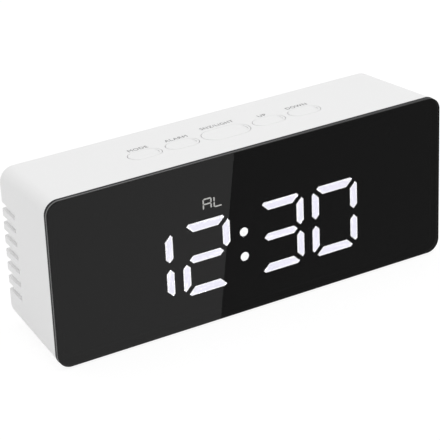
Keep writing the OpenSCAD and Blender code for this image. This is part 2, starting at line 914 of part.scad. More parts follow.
module driver_chip()
    color("#2A2A2C")
        translate([0, 0, chip_z]) {
            translate([0, board_back + (chip_h + chip_lift) / 2, 0])
                cube([chip_l, chip_h - chip_lift, chip_w], center = true);
            for (s = [-1, 1], i = [0:chip_pins - 1])
                translate([
                    (i - (chip_pins - 1) / 2) * chip_pin_pitch,
                    board_back + chip_h / 4,
                    s * (chip_w / 2 + chip_pin_reach / 2 - chip_pin_t)
                ])
                    rotate([90, 0, 90])
                        linear_extrude(chip_pin_w, center = true)
                            scale([1, s])
                                gull_wing();
        }

// Bent pin: rises from the board and turns in to the chip
module gull_wing() {
    h = chip_h / 4;
    w = chip_pin_reach / 2;
    polygon([
        [-h, w], [-h, -chip_pin_t / 2], [h - chip_pin_t, -chip_pin_t / 2], [h - chip_pin_t, -w],
        [h, -w], [h, chip_pin_t / 2], [chip_pin_t - h, chip_pin_t / 2], [chip_pin_t - h, w]
    ]);
}

module crystal()
    color("#C9CBCE")
        translate([crystal_x, 0, chip_z]) {
            along_y(board_back, board_back + crystal_base_t)
                stadium(crystal_l + 2 * crystal_rim, crystal_w + 2 * crystal_rim);
            along_y(board_back, board_back + crystal_h)
                stadium(crystal_l, crystal_w);
        }

module capacitors()
    color("#30343E")
        for (i = [0:1])
            translate([cap_first_x + i * (cap_d + cap_gap), board_back, body_z - cap_drop])
                rotate([-90, 0, 0])
                    rotate_extrude()
                        polygon([
                            [0, 0], [cap_d / 2, 0], [cap_d / 2, cap_base_t],
                            [cap_d / 2 - cap_groove, cap_base_t + cap_groove],
                            [cap_d / 2, cap_base_t + 2 * cap_groove],
                            [cap_d / 2, cap_h - cap_groove], [cap_d / 2 - cap_groove, cap_h],
                            [0, cap_h]
                        ]);

module buzzer()
    color("#1A1A1A")
        translate([buzzer_from_screw - screw_x, board_back, body_z - buzzer_drop])
            rotate([-90, 0, 0])
                rotate_extrude()
                    polygon([
                        [0, 0], [buzzer_d / 2, 0], [buzzer_d / 2, buzzer_h - buzzer_edge],
                        [buzzer_d / 2 - buzzer_edge, buzzer_h], [buzzer_hole_d / 2, buzzer_h],
                        [buzzer_hole_d / 2, buzzer_h / 2], [0, buzzer_h / 2]
                    ]);

module thermistor()
    color("#3E6B3E")
        translate([-screw_x - bead_from_screw, 0, body_z - bead_drop]) {
            for (s = [-1, 1])
                rod_y(s * bead_d / 4, 0, bead_lead_d, board_back, board_back + bead_lead);
            translate([0, board_back + bead_lead, 0])
                sphere(d = bead_d);
        }

// Key board

module key_board()
    color("#1F5B3A")
        translate([key_board_left, board_back, key_board_z])
            cube([key_board_right - key_board_left, key_board_back - board_back, key_board_t]);

module key_header()
    color("#222222") {
        header_l = header_pins * header_pitch;
        translate([-header_l / 2, board_back, key_board_z - header_w])
            cube([header_l, header_w, header_w]);
        for (i = [0:header_pins - 1])
            translate([
                (i - (header_pins - 1) / 2) * header_pitch - header_pin_w / 2,
                board_back + header_w / 2 - header_pin_w / 2,
                key_board_z - header_w - header_pin_out
            ])
                cube([header_pin_w, header_pin_w, header_pin_out + skin]);
    }

module switch_bodies()
    color("#202022")
        for (x = key_x)
            translate([x, key_y, key_board_top])
                difference() {
                    translate([-switch_w / 2, -switch_w / 2, 0])
                        cube([switch_w, switch_w, switch_h]);
                    translate([0, 0, switch_h - plunger_in - key_travel - 2 * plunger_gap])
                        cylinder(d = plunger_d + 2 * plunger_gap, h = switch_h);
                }

// One key, flush with the top of the housing at rest
module key(i) {
    l = key_len[i];
    w = key_wid[i];
    dish_w = w / 2 - dish_rim;
    dish_r = (dish_w * dish_w + dish_h * dish_h) / (2 * dish_h);
    color("#EDEDED")
        translate([key_x[i], 0, 0]) {
            difference() {
                intersection() {
                    translate([0, key_y, flange_z])
                        linear_extrude(body_h / 2)
                            stadium(l, w);
                    translate([-key_x[i], 0, 0])
                        outer_form();
                }
                intersection() {
                    translate([-l, key_y, top_z(key_y) + dish_r - dish_h])
                        rotate([0, 90, 0])
                            cylinder(r = dish_r, h = 2 * l, $fn = 128);
                    translate([0, key_y, flange_z])
                        linear_extrude(body_h / 2)
                            stadium(l - 2 * dish_rim, w - 2 * dish_rim);
                }
            }
            intersection() {
                translate([0, key_y, flange_z])
                    linear_extrude(body_h / 2)
                        stadium(l + 2 * key_gap + 2 * key_flange, w + 2 * key_gap + 2 * key_flange);
                translate([-key_x[i], 0, -key_rest_gap])
                    inner_form();
            }
            translate([0, key_y, stem_z])
                cylinder(d = stem_d, h = stem_h + skin);
        }
}

module mode_key() key(0);
module alarm_key() key(1);
module snooze_key() key(2);
module up_key() key(3);
module down_key() key(4);

module plunger(i)
    color("#B5232B")
        translate([key_x[i], key_y, stem_z - plunger_out - plunger_in])
            cylinder(d = plunger_d, h = plunger_out + plunger_in);

module mode_plunger() plunger(0);
module alarm_plunger() plunger(1);
module snooze_plunger() plunger(2);
module up_plunger() plunger(3);
module down_plunger() plunger(4);

// Batteries, alternately turned; side is where the tip points
module cell(row, side)
    color("#3B4A57")
        translate([side * tip_x, cell_y, body_z + row * cell_pitch])
            rotate([0, -90 * side, 0])
                rotate_extrude()
                    polygon([
                        [0, 0], [cell_tip_d / 2, 0], [cell_tip_d / 2, cell_tip_l],
                        [cell_d / 2 - cell_shoulder, cell_tip_l], [cell_d / 2, cell_tip_l + cell_shoulder],
                        [cell_d / 2, cell_l - cell_shoulder], [cell_d / 2 - cell_shoulder, cell_l],
                        [0, cell_l]
                    ]);

module battery_upper() cell(1, 1);
module battery_middle() cell(0, -1);
module battery_lower() cell(-1, 1);

// Contacts. Each plate lies on an end wall of the bay

module contact_plate(side, row0, row1) {
    z0 = body_z + min(row0, row1) * cell_pitch - contact_w / 2;
    z1 = body_z + max(row0, row1) * cell_pitch + contact_w / 2;
    translate([side > 0 ? bay_l / 2 - contact_t : -bay_l / 2, cell_y - contact_w / 2, z0])
        cube([contact_t, contact_w, z1 - z0]);
}

module contact_bump(side, row)
    translate([side * (bay_l / 2 - contact_t), cell_y, body_z + row * cell_pitch])
        rotate([0, -90 * side, 0])
            rotate_extrude()
                polygon([[0, -skin], [cell_tip_d / 2, -skin], [cell_tip_d / 3, bump_h], [0, bump_h]]);

// Sprung tongue: a strip bent out of the plate towards the flat end of a battery
module contact_tongue(side, row) {
    reach = 2 * (bay_l / 2) - contact_t - (bay_l / 2 - tip_x) - cell_l - contact_gap;
    half = contact_w / 2 - contact_t;
    crest = contact_t;
    translate([side * (bay_l / 2 - contact_t), cell_y, body_z + row * cell_pitch - half / 2])
        scale([-side, 1, 1])
            linear_extrude(half)
                polygon([
                    [-skin, -half], [contact_t, -half], [reach, -crest], [reach, crest],
                    [contact_t * 3, half], [contact_t * 2, half], [reach - contact_t, crest * 0.6],
                    [reach - contact_t, -crest * 0.6], [-skin, contact_t - half]
                ]);
}

module contact_tab(side)
    translate([
        side > 0 ? bay_l / 2 - contact_t : -bay_l / 2,
        bay_front_y - contact_tab_out,
        body_z + side * cell_pitch - contact_tab_w / 2
    ])
        cube([contact_t, cell_y - bay_front_y + contact_tab_out, contact_tab_w]);

module positive_contact()
    color("#C8B560") {
        contact_plate(1, 1, 1);
        contact_bump(1, 1);
        contact_tab(1);
    }

module negative_contact()
    color("#C9CBCE") {
        contact_plate(-1, -1, -1);
        contact_tongue(-1, -1);
        contact_tab(-1);
    }

module left_link()
    color("#C9CBCE") {
        contact_plate(-1, 0, 1);
        contact_bump(-1, 0);
        contact_tongue(-1, 1);
    }

module right_link()
    color("#C9CBCE") {
        contact_plate(1, -1, 0);
        contact_bump(1, -1);
        contact_tongue(1, 0);
    }

module battery_leads()
    color("#A02020")
        for (s = [-1, 1])
            rod_y(
                s * (bay_l - contact_t) / 2,
                body_z + s * cell_pitch,
                lead_d,
                board_back,
                bay_front_y - contact_tab_out
            );

// Battery door: lies in the rear wall, turns on its rounded lower edge and lifts off when tilted

module battery_door()
    color("#E6E6E6")
        difference() {
            union() {
                intersection() {
                    translate([-door_w / 2, 0, 0])
                        rotate([90, 0, 90])
                            linear_extrude(door_w)
                                union() {
                                    translate([hinge_y, hinge_z])
                                        circle(d = door_t);
                                    translate([door_y, hinge_z])
                                        square([door_t, door_bottom_z + door_h - hinge_z]);
                                }
                    translate([0, 0, body_z])
                        along_y(door_y - over, rear_y + over)
                            rounded_rect(door_w, door_h, door_corner_r);
                }
                for (s = [-1, 1])
                    translate([s * tab_x - tab_w / 2, door_y, door_bottom_z - tab_reach])
                        cube([tab_w, tab_t, tab_reach + door_t]);
                translate([-snap_w / 2, door_y - snap_l, bay_top_z - snap_clear - snap_t])
                    cube([snap_w, snap_l + skin, snap_t]);
            }
            translate([0, rear_y + scoop_r - scoop_h, body_z + door_h / 2 - scoop_d])
                sphere(r = scoop_r, $fn = 128);
        }

// Power inlet on its own small board

module power_board()
    color("#1F5B3A")
        difference() {
            translate([inlet_mid_x, 0, inlet_z])
                along_y(power_y - power_t, power_y)
                    rounded_rect(power_w, power_h, inlet_r);
            for (s = [-1, 1])
                rod_y(
                    inlet_mid_x,
                    inlet_z + s * power_screw_rise,
                    power_screw_d + board_hole_gap,
                    power_y - power_t - over,
                    power_y + over
                );
        }

module power_screws()
    color("silver")
        for (s = [-1, 1]) {
            z = inlet_z + s * power_screw_rise;
            head_y = power_y - power_t;
            rod_y(inlet_mid_x, z, power_head_d, head_y - power_head_h, head_y);
            rod_y(inlet_mid_x, z, power_screw_d, head_y, head_y + power_screw_l);
        }

module inlet_shell()
    color("#C9CBCE")
        translate([inlet_mid_x, 0, inlet_z])
            difference() {
                along_y(power_y, inlet_mouth_y)
                    rounded_rect(inlet_w, inlet_h, inlet_r);
                along_y(power_y + inlet_t, inlet_mouth_y + over)
                    rounded_rect(inlet_w - 2 * inlet_t, inlet_h - 2 * inlet_t, inlet_r - inlet_t);
            }

module inlet_tongue()
    color("#1A1A1A")
        translate([inlet_mid_x, power_y + inlet_t, inlet_z]) {
            translate([-tongue_w / 2 - tongue_t, 0, -tongue_t])
                cube([tongue_w + 2 * tongue_t, tongue_back, 2 * tongue_t]);
            translate([-tongue_w / 2, 0, -tongue_t / 2])
                cube([tongue_w, inlet_d - inlet_t - tongue_short, tongue_t]);
        }

module inlet_leads()
    color("#A02020")
        for (s = [-1, 1])
            rod_y(
                inlet_mid_x + s * inlet_lead_pitch / 2,
                inlet_z + inlet_lead_rise,
                lead_d,
                board_back,
                power_y - power_t
            );

// Rubber feet: the rear ones are taller, because the base rises to the rear

module foot(sx, y) {
    top = base_z(y) + foot_recess;
    color("#4A4A4C")
        translate([sx * foot_x, y, 0])
            rotate_extrude()
                polygon([
                    [0, 0], [foot_d / 2 - foot_edge, 0], [foot_d / 2, foot_edge],
                    [foot_d / 2, top], [0, top]
                ]);
}

module foot_front_left() foot(-1, foot_front_y);
module foot_front_right() foot(1, foot_front_y);
module foot_rear_left() foot(-1, foot_rear_y);
module foot_rear_right() foot(1, foot_rear_y);

housing();
mirror_panel();
panel_tape();
light_box();
lit_segments();
unlit_segments();
colon_dots();
alarm_indicator();
segment_leds();
main_board();
driver_chip();
crystal();
capacitors();
buzzer();
thermistor();
board_screws();
key_board();
key_header();
switch_bodies();
mode_key();
alarm_key();
snooze_key();
up_key();
down_key();
mode_plunger();
alarm_plunger();
snooze_plunger();
up_plunger();
down_plunger();
battery_upper();
battery_middle();
battery_lower();
positive_contact();
negative_contact();
left_link();
right_link();
battery_leads();
battery_door();
power_board();
power_screws();
inlet_shell();
inlet_tongue();
inlet_leads();
foot_front_left();
foot_front_right();
foot_rear_left();
foot_rear_right();
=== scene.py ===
import math

import bmesh
import bpy
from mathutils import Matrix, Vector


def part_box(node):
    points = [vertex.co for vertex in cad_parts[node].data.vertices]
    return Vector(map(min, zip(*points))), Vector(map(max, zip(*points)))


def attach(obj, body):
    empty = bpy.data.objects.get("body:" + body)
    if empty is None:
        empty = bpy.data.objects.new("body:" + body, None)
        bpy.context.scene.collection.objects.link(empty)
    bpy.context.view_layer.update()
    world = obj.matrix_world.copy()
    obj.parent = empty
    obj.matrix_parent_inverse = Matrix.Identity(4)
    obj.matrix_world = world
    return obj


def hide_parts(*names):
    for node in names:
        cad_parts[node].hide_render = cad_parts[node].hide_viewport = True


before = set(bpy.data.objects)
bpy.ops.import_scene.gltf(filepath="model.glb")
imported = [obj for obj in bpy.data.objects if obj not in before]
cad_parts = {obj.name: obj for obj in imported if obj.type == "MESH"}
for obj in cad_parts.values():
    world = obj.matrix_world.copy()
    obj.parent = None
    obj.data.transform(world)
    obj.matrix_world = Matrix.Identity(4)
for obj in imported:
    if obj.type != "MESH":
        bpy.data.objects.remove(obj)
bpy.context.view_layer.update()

# Camera
# A long lens, to the left of the clock and above it, fitted to the corners of the front.
# It stands about 0.64 m away, and the clock nearly fills the width of the frame.
camera = bpy.data.objects.new("camera", bpy.data.cameras.new("camera"))
camera.data.sensor_width = 36
camera.data.lens = 165.06
camera.data.clip_start = 0.01
camera.location = (-0.28984, -0.49725, 0.29632)
camera.rotation_euler = [math.radians(angle) for angle in (64.6481, 2.2243, -31.1143)]
bpy.context.scene.collection.objects.link(camera)
bpy.context.scene.camera = camera

# Housing
# One deep white ABS moulding with drafted sides, open at the front, with vent slots cut round
# its rear corners. Its skin is a fine satin spark finish, and every edge is a little rounded,
# because plastic never fills a sharp corner of the mould.


def add_node(tree, kind, inputs=None, **settings):
    """A node with its settings; an input takes a plain value or another node's output."""
    made = tree.nodes.new(kind)
    for name, value in settings.items():
        setattr(made, name, value)
    for name, value in (inputs or {}).items():
        if isinstance(value, bpy.types.NodeSocket):
            tree.links.new(value, made.inputs[name])
        else:
            made.inputs[name].default_value = value
    return made


def new_group(name, kind, inputs, outputs):
    """A node group with named inputs, (socket kind, name, value), and outputs, (socket kind, name)."""
    tree = bpy.data.node_groups.new(name, kind)
    for socket_kind, label, value in inputs:
        socket = tree.interface.new_socket(label, in_out="INPUT", socket_type="NodeSocket" + socket_kind)
        if value is not None:
            socket.default_value = value
    for socket_kind, label in outputs:
        tree.interface.new_socket(label, in_out="OUTPUT", socket_type="NodeSocket" + socket_kind)
    return tree, tree.nodes.new("NodeGroupInput").outputs, tree.nodes.new("NodeGroupOutput").inputs


def math_node(tree, operation, *values):
    return add_node(tree, "ShaderNodeMath", dict(enumerate(values)), operation=operation).outputs[0]


def mix_node(tree, kind, factor, a, b):
    return add_node(
        tree, "ShaderNodeMix", {"Factor": factor, "A": a, "B": b}, data_type=kind
    ).outputs["Result"]


def object_place(tree):
    return add_node(tree, "ShaderNodeTexCoord").outputs["Object"]


def noise(tree, vector, scale, detail=2):
    return add_node(
        tree, "ShaderNodeTexNoise", {"Vector": vector, "Scale": scale, "Detail": detail}
    ).outputs["Fac"]


def shaded(tree, colour, level):
    """The colour times a level that changes over the surface."""
    return add_node(
        tree, "ShaderNodeVectorMath", {0: colour, "Scale": level}, operation="SCALE"
    ).outputs[0]


# Moulded plastic, rubber, paint and ink: a slow change of tone and gloss over a fine grain
tree, given, out = new_group(
    "moulded_skin",
    "ShaderNodeTree",
    [
        ("Color", "Color", (0.8, 0.8, 0.8, 1)),
        ("Float", "Mottle", 0.02),
        ("Float", "Roughness", 0.4),
        ("Float", "Grains per Metre", 3000),
    ],
    [("Color", "Color"), ("Float", "Roughness"), ("Float", "Height")],
)
moulded_skin = tree
place = object_place(tree)
unevenness = math_node(tree, "SUBTRACT", noise(tree, place, scale=40, detail=5), 0.5)
tone = math_node(tree, "MULTIPLY_ADD", unevenness, given["Mottle"], 1)
roughness_change = 0.16
dullness = math_node(tree, "MULTIPLY_ADD", unevenness, roughness_change, given["Roughness"])
tree.links.new(shaded(tree, given["Color"], tone), out["Color"])
tree.links.new(dullness, out["Roughness"])
tree.links.new(noise(tree, place, given["Grains per Metre"]), out["Height"])


def keyword(label):
    """A socket's name in the form of an argument."""
    return label.lower().replace(" ", "_")


def new_material(name):
    material = bpy.data.materials.new(name)
    material.use_nodes = True
    return material, material.node_tree, material.node_tree.nodes["Principled BSDF"].inputs


def surface_material(name, group_tree, relief, **values):
    """A material fed by a surface group; relief is how deep its height pattern is, in metres."""
    material, material_tree, shader = new_material(name)
    group = add_node(material_tree, "ShaderNodeGroup", node_tree=group_tree)
    for socket in group.inputs:
        if keyword(socket.name) in values:
            value = values[keyword(socket.name)]
            socket.default_value = (*value, 1) if socket.type == "RGBA" else value
    for output, entry in (("Color", "Base Color"), ("Roughness", "Roughness"), ("Metallic", "Metallic")):
        if output in group.outputs:
            material_tree.links.new(group.outputs[output], shader[entry])
    bump = add_node(material_tree, "ShaderNodeBump", {
        "Height": group.outputs["Height"], "Distance": relief, "Strength": 1.0,
    })
    material_tree.links.new(bump.outputs["Normal"], shader["Normal"])
    return material


def moulded(name, colour, roughness, mottle=0.03, grains=3000, relief=0.00001, gloss=0.5):
    material = surface_material(
        name, moulded_skin, relief,
        color=colour, roughness=roughness, mottle=mottle, grains_per_metre=grains,
    )
    material.node_tree.nodes["Principled BSDF"].inputs["Specular IOR Level"].default_value = gloss
    return material


def link(name, mesh):
    piece = bpy.data.objects.new(name, mesh)
    bpy.context.scene.collection.objects.link(piece)
    return piece


def evaluated_mesh(thing):
    bpy.context.view_layer.update()
    return bpy.data.meshes.new_from_object(thing.evaluated_get(bpy.context.evaluated_depsgraph_get()))


def baked(piece):
    """The piece with its modifiers applied and taken off."""
    mesh = evaluated_mesh(piece)
    piece.modifiers.clear()
    piece.data = mesh
    return piece


def rounded(piece, edge):
    """Rounds the piece's sharp edges by edge, in metres, and keeps its flat faces flat."""
    rounding = piece.modifiers.new("rounding", "BEVEL")
    rounding.width = edge
    rounding.segments = 2
    rounding.limit_method = "ANGLE"
    rounding.angle_limit = math.radians(32)
    rounding.harden_normals = True
    weighting = piece.modifiers.new("weighting", "WEIGHTED_NORMAL")
    weighting.keep_sharp = True
    return baked(piece)


def mesh_of(shape, name):
    mesh = bpy.data.meshes.new(name)
    shape.to_mesh(mesh)
    shape.free()
    return mesh


def merged_mesh(node, name):
    """A copy of a CAD node's mesh as whole faces instead of loose triangles."""
    same_point = 0.000002
    same_plane = math.radians(0.4)
    shape = bmesh.new()
    shape.from_mesh(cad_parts[node].data)
    bmesh.ops.remove_doubles(shape, verts=shape.verts, dist=same_point)
    bmesh.ops.dissolve_limit(
        shape, angle_limit=same_plane, verts=shape.verts, edges=shape.edges, delimit={"NORMAL"}
    )
    for face in shape.faces:
        face.smooth = True
        face.material_index = 0
    return mesh_of(shape, name)


def mounted(piece, body, slot, *nodes):
    """The piece rides on a body and stands for these CAD nodes, which it hides; slot is not used."""
    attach(piece, body)
    if nodes:
        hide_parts(*nodes)
    return piece


def finished(node, name, edge, material, body, slot):
    """A CAD node's own form with the rounded edges of the real piece."""
    mesh = merged_mesh(node, name)
    mesh.materials.append(material)
    return mounted(rounded(link(name, mesh), edge), body, slot, node)


white_abs = moulded("white_abs", (0.83, 0.83, 0.83), 0.42, mottle=0.012, grains=2900)
housing_edge = 0.00012
finished("housing", "moulded_housing", housing_edge, white_abs, "clock", "housing")

# Vent screens
# Behind the vents of each rear corner lies a white moulded screen, a thin plate with a pad for
# every slot, which fills the inner half of it. It keeps dust and fingers out.
screen_white = moulded("screen_white", (0.95, 0.95, 0.95), 0.8, mottle=0.02, grains=1500, relief=0.00004)
plate_plan = (
    (0.06640, 0.0060), (0.06588, 0.01595), (0.0566, 0.01595),
    (0.0566, 0.01545), (0.06538, 0.01545), (0.06590, 0.0060),
)
plate_bottom = 0.0110
plate_top = 0.0434
pad_plan = (
    (0.06751, 0.00763), (0.06696, 0.0171), (0.05743, 0.0171),
    (0.05743, 0.01585), (0.06578, 0.01585), (0.06621, 0.00763),
)
slot_count = 7
slot_pitch = 0.00457
pad_height = 0.00224


def vector(tree, x=0.0, y=0.0, z=0.0):
    return add_node(tree, "ShaderNodeCombineXYZ", {"X": x, "Y": y, "Z": z}).outputs[0]


def boolean(tree, operation, first, others):
    made = add_node(tree, "GeometryNodeMeshBoolean", operation=operation, solver="EXACT")
    if first is not None:
        tree.links.new(first, made.inputs["Mesh 1"])
    for other in others:
        tree.links.new(other, made.inputs["Mesh 2"])
    return made.outputs["Mesh"]


def copies_at(tree, points, instance, rotation=(0, 0, 0)):
    return add_node(tree, "GeometryNodeInstanceOnPoints", {
        "Points": points, "Instance": instance, "Rotation": rotation,
    }).outputs["Instances"]


def ended(tree, geometry, material, result):
    """Ends a tree: its copies made real and given their material."""
    real = add_node(tree, "GeometryNodeRealizeInstances", {"Geometry": geometry}).outputs["Geometry"]
    coloured = add_node(tree, "GeometryNodeSetMaterial", {"Geometry": real, "Material": material})
    tree.links.new(coloured.outputs["Geometry"], result)


tree, given, out = new_group(
    "padded_screen",
    "GeometryNodeTree",
    [
        ("Geometry", "Lowest Pad", None),
        ("Object", "Plate", None),
        ("Int", "Count", 7),
        ("Float", "Pitch", 0.0045),
        ("Material", "Plastic", None),
    ],
    [("Geometry", "Screen")],
)
padded_screen = tree
column = add_node(tree, "GeometryNodeMeshLine", {
    "Count": given["Count"], "Offset": vector(tree, z=given["Pitch"]),
}).outputs["Mesh"]
pads = copies_at(tree, column, given["Lowest Pad"])
plate = add_node(tree, "GeometryNodeObjectInfo", {"Object": given["Plate"]}).outputs["Geometry"]
ended(tree, boolean(tree, "UNION", None, [plate, pads]), given["Plastic"], out["Screen"])


def prism(name, plan, bottom, top):
    """A solid with the plan's outline, from bottom to top."""
    shape = bmesh.new()
    foot = shape.faces.new([shape.verts.new((x, y, bottom)) for x, y in plan])
    extruded = bmesh.ops.extrude_face_region(shape, geom=[foot])["geom"]
    for item in extruded:
        if isinstance(item, bmesh.types.BMVert):
            item.co.z = top
    bmesh.ops.recalc_face_normals(shape, faces=shape.faces)
    return link(name, mesh_of(shape, name))


def grown(piece, tree, **sizes):
    """The piece as a node tree grows it from its mesh, with the tree's sizes set by name."""
    growth = piece.modifiers.new("growth", "NODES")
    growth.node_group = tree
    for item in tree.interface.items_tree:
        if item.in_out == "INPUT" and keyword(item.name) in sizes:
            growth[item.identifier] = sizes[keyword(item.name)]
    baked(piece)
    for index, material in reversed(list(enumerate(piece.data.materials))):
        if material is None:
            piece.data.materials.pop(index=index)
    return piece


slots_middle_z = (plate_bottom + plate_top) / 2
lowest_pad_z = slots_middle_z - slot_pitch * (slot_count - 1) / 2 - pad_height / 2
for name, side in (("left_screen", -1), ("right_screen", 1)):
    plate = prism("plate", [(side * x, y) for x, y in plate_plan], plate_bottom, plate_top)
    pad = prism(name, [(side * x, y) for x, y in pad_plan], lowest_pad_z, lowest_pad_z + pad_height)
    screen = grown(
        pad, padded_screen, plate=plate, count=slot_count, pitch=slot_pitch, plastic=screen_white
    )
    bpy.data.objects.remove(plate)
    mounted(screen, "clock", "housing")

# Key names
# The word for each key in thin grey capitals, pad-printed on the sloping top of the housing,
# one behind each key. The ink is a hundredth of a millimetre thick.
print_ink = moulded("grey_ink", (0.17, 0.17, 0.173), 0.55, mottle=0.3, grains=5000)
housing_low, housing_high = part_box("housing")
top_slope = 0.002 / 0.0344
ink_lift = 0.00002
ink_thickness = 0.00001
letter_height = 0.0018
letter_weld = 0.0001
for words, left, right, line_y in (
    ("MODE", -0.0309, -0.0242, 0.0042),
    ("ALARM", -0.0181, -0.0102, 0.0042),
    ("SNZ/LIGHT", -0.0042, 0.0077, 0.0062),
    ("UP", 0.0157, 0.0186, 0.0042),
    ("DOWN", 0.0262, 0.0338, 0.0042),
):
    text = bpy.data.curves.new("text", "FONT")
    text.body = words
    text.space_character = 1.1
    text.extrude = 0.01
    letters = link("letters", text)
    mesh = evaluated_mesh(letters)
    bpy.data.objects.remove(letters)
    shape = bmesh.new()
    shape.from_mesh(mesh)
    bmesh.ops.remove_doubles(shape, verts=shape.verts, dist=letter_weld)
    shape.to_mesh(mesh)
    shape.free()
    low = [min(point.co[axis] for point in mesh.vertices) for axis in range(3)]
    high = [max(point.co[axis] for point in mesh.vertices) for axis in range(3)]
    for point in mesh.vertices:
        across, up, deep = [(point.co[axis] - low[axis]) / (high[axis] - low[axis]) for axis in range(3)]
        y = line_y + letter_height * (up - 0.5)
        top_z = housing_high[2] - top_slope * (y - housing_low[1])
        point.co = (left + (right - left) * across, y, top_z + ink_lift + ink_thickness * deep)
    mesh.materials.clear()
    mesh.materials.append(print_ink)
    mounted(link("name_" + words.lower().replace("/", "_"), mesh), "clock", "print")

# Keys
# Five white ABS caps in the top of the housing, flush with it at rest, each with a shallow dish
# for the finger. A flange under the wall keeps each cap in, and the switch below lifts it.
white_key = moulded("white_key", (0.83, 0.83, 0.83), 0.38, mottle=0.01, grains=2500)
key_names = ("mode", "alarm", "snooze", "up", "down")
key_y = -0.0011
flange_width = 0.00085
key_edge = 0.00012
side_growth = 0.00014
end_growth = 0.00006


def filled_out(mesh, key_x, length, width):
    """Moves the wall of a round-ended key outwards into its gap, more at the sides than at the ends."""
    wall_within = 0.00003
    end = (length - width) / 2
    for point in mesh.vertices:
        near_x = key_x + max(-end, min(end, point.co.x - key_x))
        away = math.hypot(point.co.x - near_x, point.co.y - key_y)
        if abs(away - width / 2) < wall_within:
            along = (point.co.x - near_x) / away
            across = (point.co.y - key_y) / away
            growth = side_growth + (end_growth - side_growth) * abs(along)
            point.co.x += along * growth
            point.co.y += across * growth


for key in key_names:
    low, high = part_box(key + "_key")
    length = high[0] - low[0] - 2 * flange_width
    width = high[1] - low[1] - 2 * flange_width
    mesh = merged_mesh(key + "_key", key + "_cap")
    filled_out(mesh, (low[0] + high[0]) / 2, length, width)
    mesh.materials.append(white_key)
    mounted(rounded(link(key + "_cap", mesh), key_edge), key + "_button", "key", key + "_key")

# Key board
# A narrow glass-epoxy board in rails under the top, with five tact switches: a black body and a
# red plunger each. A row of seven pins joins it to the main board.


def dress(node, material):
    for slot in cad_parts[node].material_slots:
        slot.material = material


# Green solder mask over copper: the tracks show as slightly raised, paler lines
solder_mask, tree, shader = new_material("solder_mask")
place = object_place(tree)
cells = add_node(
    tree, "ShaderNodeTexVoronoi", {"Vector": place, "Scale": 260, "Randomness": 0.9},
    feature="DISTANCE_TO_EDGE",
)
tracks = add_node(tree, "ShaderNodeMapRange", {
    "Value": cells.outputs["Distance"], "From Min": 0.05, "From Max": 0.09, "To Min": 1.0, "To Max": 0.0,
}).outputs["Result"]
dark_green = (0.010, 0.085, 0.030, 1)
mid_green = (0.014, 0.105, 0.040, 1)
track_green = (0.035, 0.19, 0.07, 1)
lacquer = mix_node(tree, "RGBA", noise(tree, place, scale=500), dark_green, mid_green)
tree.links.new(mix_node(tree, "RGBA", tracks, lacquer, track_green), shader["Base Color"])
track_bump = add_node(tree, "ShaderNodeBump", {"Height": tracks, "Distance": 0.00003})
tree.links.new(track_bump.outputs["Normal"], shader["Normal"])
shader["Roughness"].default_value = 0.32
dress("key_board", solder_mask)

black_nylon = moulded("black_nylon", (0.02, 0.02, 0.021), 0.5, mottle=0.2, grains=4000)
red_plunger = moulded("red_plunger", (0.42, 0.02, 0.025), 0.45, mottle=0.08)
dress("switch_bodies", black_nylon)
for key in key_names:
    dress(key + "_plunger", red_plunger)

# Parts made of two materials along one direction, such as black epoxy with tinned pins
tree, given, out = new_group(
    "parted",
    "ShaderNodeTree",
    [
        ("Vector", "Direction", (0, 0, 1)),
        ("Float", "Middle", 0.0),
        ("Float", "Reach", 0.001),
        ("Color", "Inner Color", (0.02, 0.02, 0.02, 1)),
        ("Color", "Outer Color", (0.7, 0.7, 0.7, 1)),
        ("Float", "Inner Metallic", 0.0),
        ("Float", "Outer Metallic", 1.0),
        ("Float", "Inner Roughness", 0.5),
        ("Float", "Outer Roughness", 0.3),
    ],
    [("Color", "Color"), ("Float", "Metallic"), ("Float", "Roughness"), ("Float", "Height")],
)
parted = tree
place = object_place(tree)
along = add_node(tree, "ShaderNodeVectorMath", {0: place, 1: given["Direction"]}, operation="DOT_PRODUCT")
offset = math_node(tree, "SUBTRACT", along.outputs["Value"], given["Middle"])
outside = math_node(tree, "GREATER_THAN", math_node(tree, "ABSOLUTE", offset), given["Reach"])
stain = noise(tree, place, scale=900, detail=3)
stain_change = 0.2
least_tone = 0.9
two_tone = mix_node(tree, "RGBA", outside, given["Inner Color"], given["Outer Color"])
stained = math_node(tree, "MULTIPLY_ADD", stain, stain_change, least_tone)
tree.links.new(shaded(tree, two_tone, stained), out["Color"])
for label in ("Metallic", "Roughness"):
    level = mix_node(tree, "FLOAT", outside, given["Inner " + label], given["Outer " + label])
    tree.links.new(level, out[label])
tree.links.new(stain, out["Height"])


def two_part(name, direction, middle, reach, inner, outer):
    """Inner within reach of middle along direction, outer beyond; each (colour, metallic, roughness)."""
    relief = 0.000004
    return surface_material(
        name, parted, relief, direction=direction, middle=middle, reach=reach,
        inner_color=inner[0], inner_metallic=inner[1], inner_roughness=inner[2],
        outer_color=outer[0], outer_metallic=outer[1], outer_roughness=outer[2],
    )


tinned = ((0.72, 0.71, 0.69), 1.0, 0.3)
epoxy = ((0.018, 0.018, 0.019), 0.0, 0.45)
upwards = (0, 0, 1)
header_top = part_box("key_header")[1][2]
header_block_height = 0.0025
dress("key_header", two_part("header", upwards, header_top, header_block_height, epoxy, tinned))

# Main board
# Glass-epoxy, 1.6 mm thick, with the driver chip, clock crystal, two capacitors, buzzer and
# thermistor soldered on its rear, and a white lamp behind each segment on its front.
dress("main_board", solder_mask)
chip_low, chip_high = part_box("driver_chip")
chip_mid_z = (chip_low[2] + chip_high[2]) / 2
chip_half_width = 0.00375
dress("driver_chip", two_part("chip", upwards, chip_mid_z, chip_half_width, epoxy, tinned))

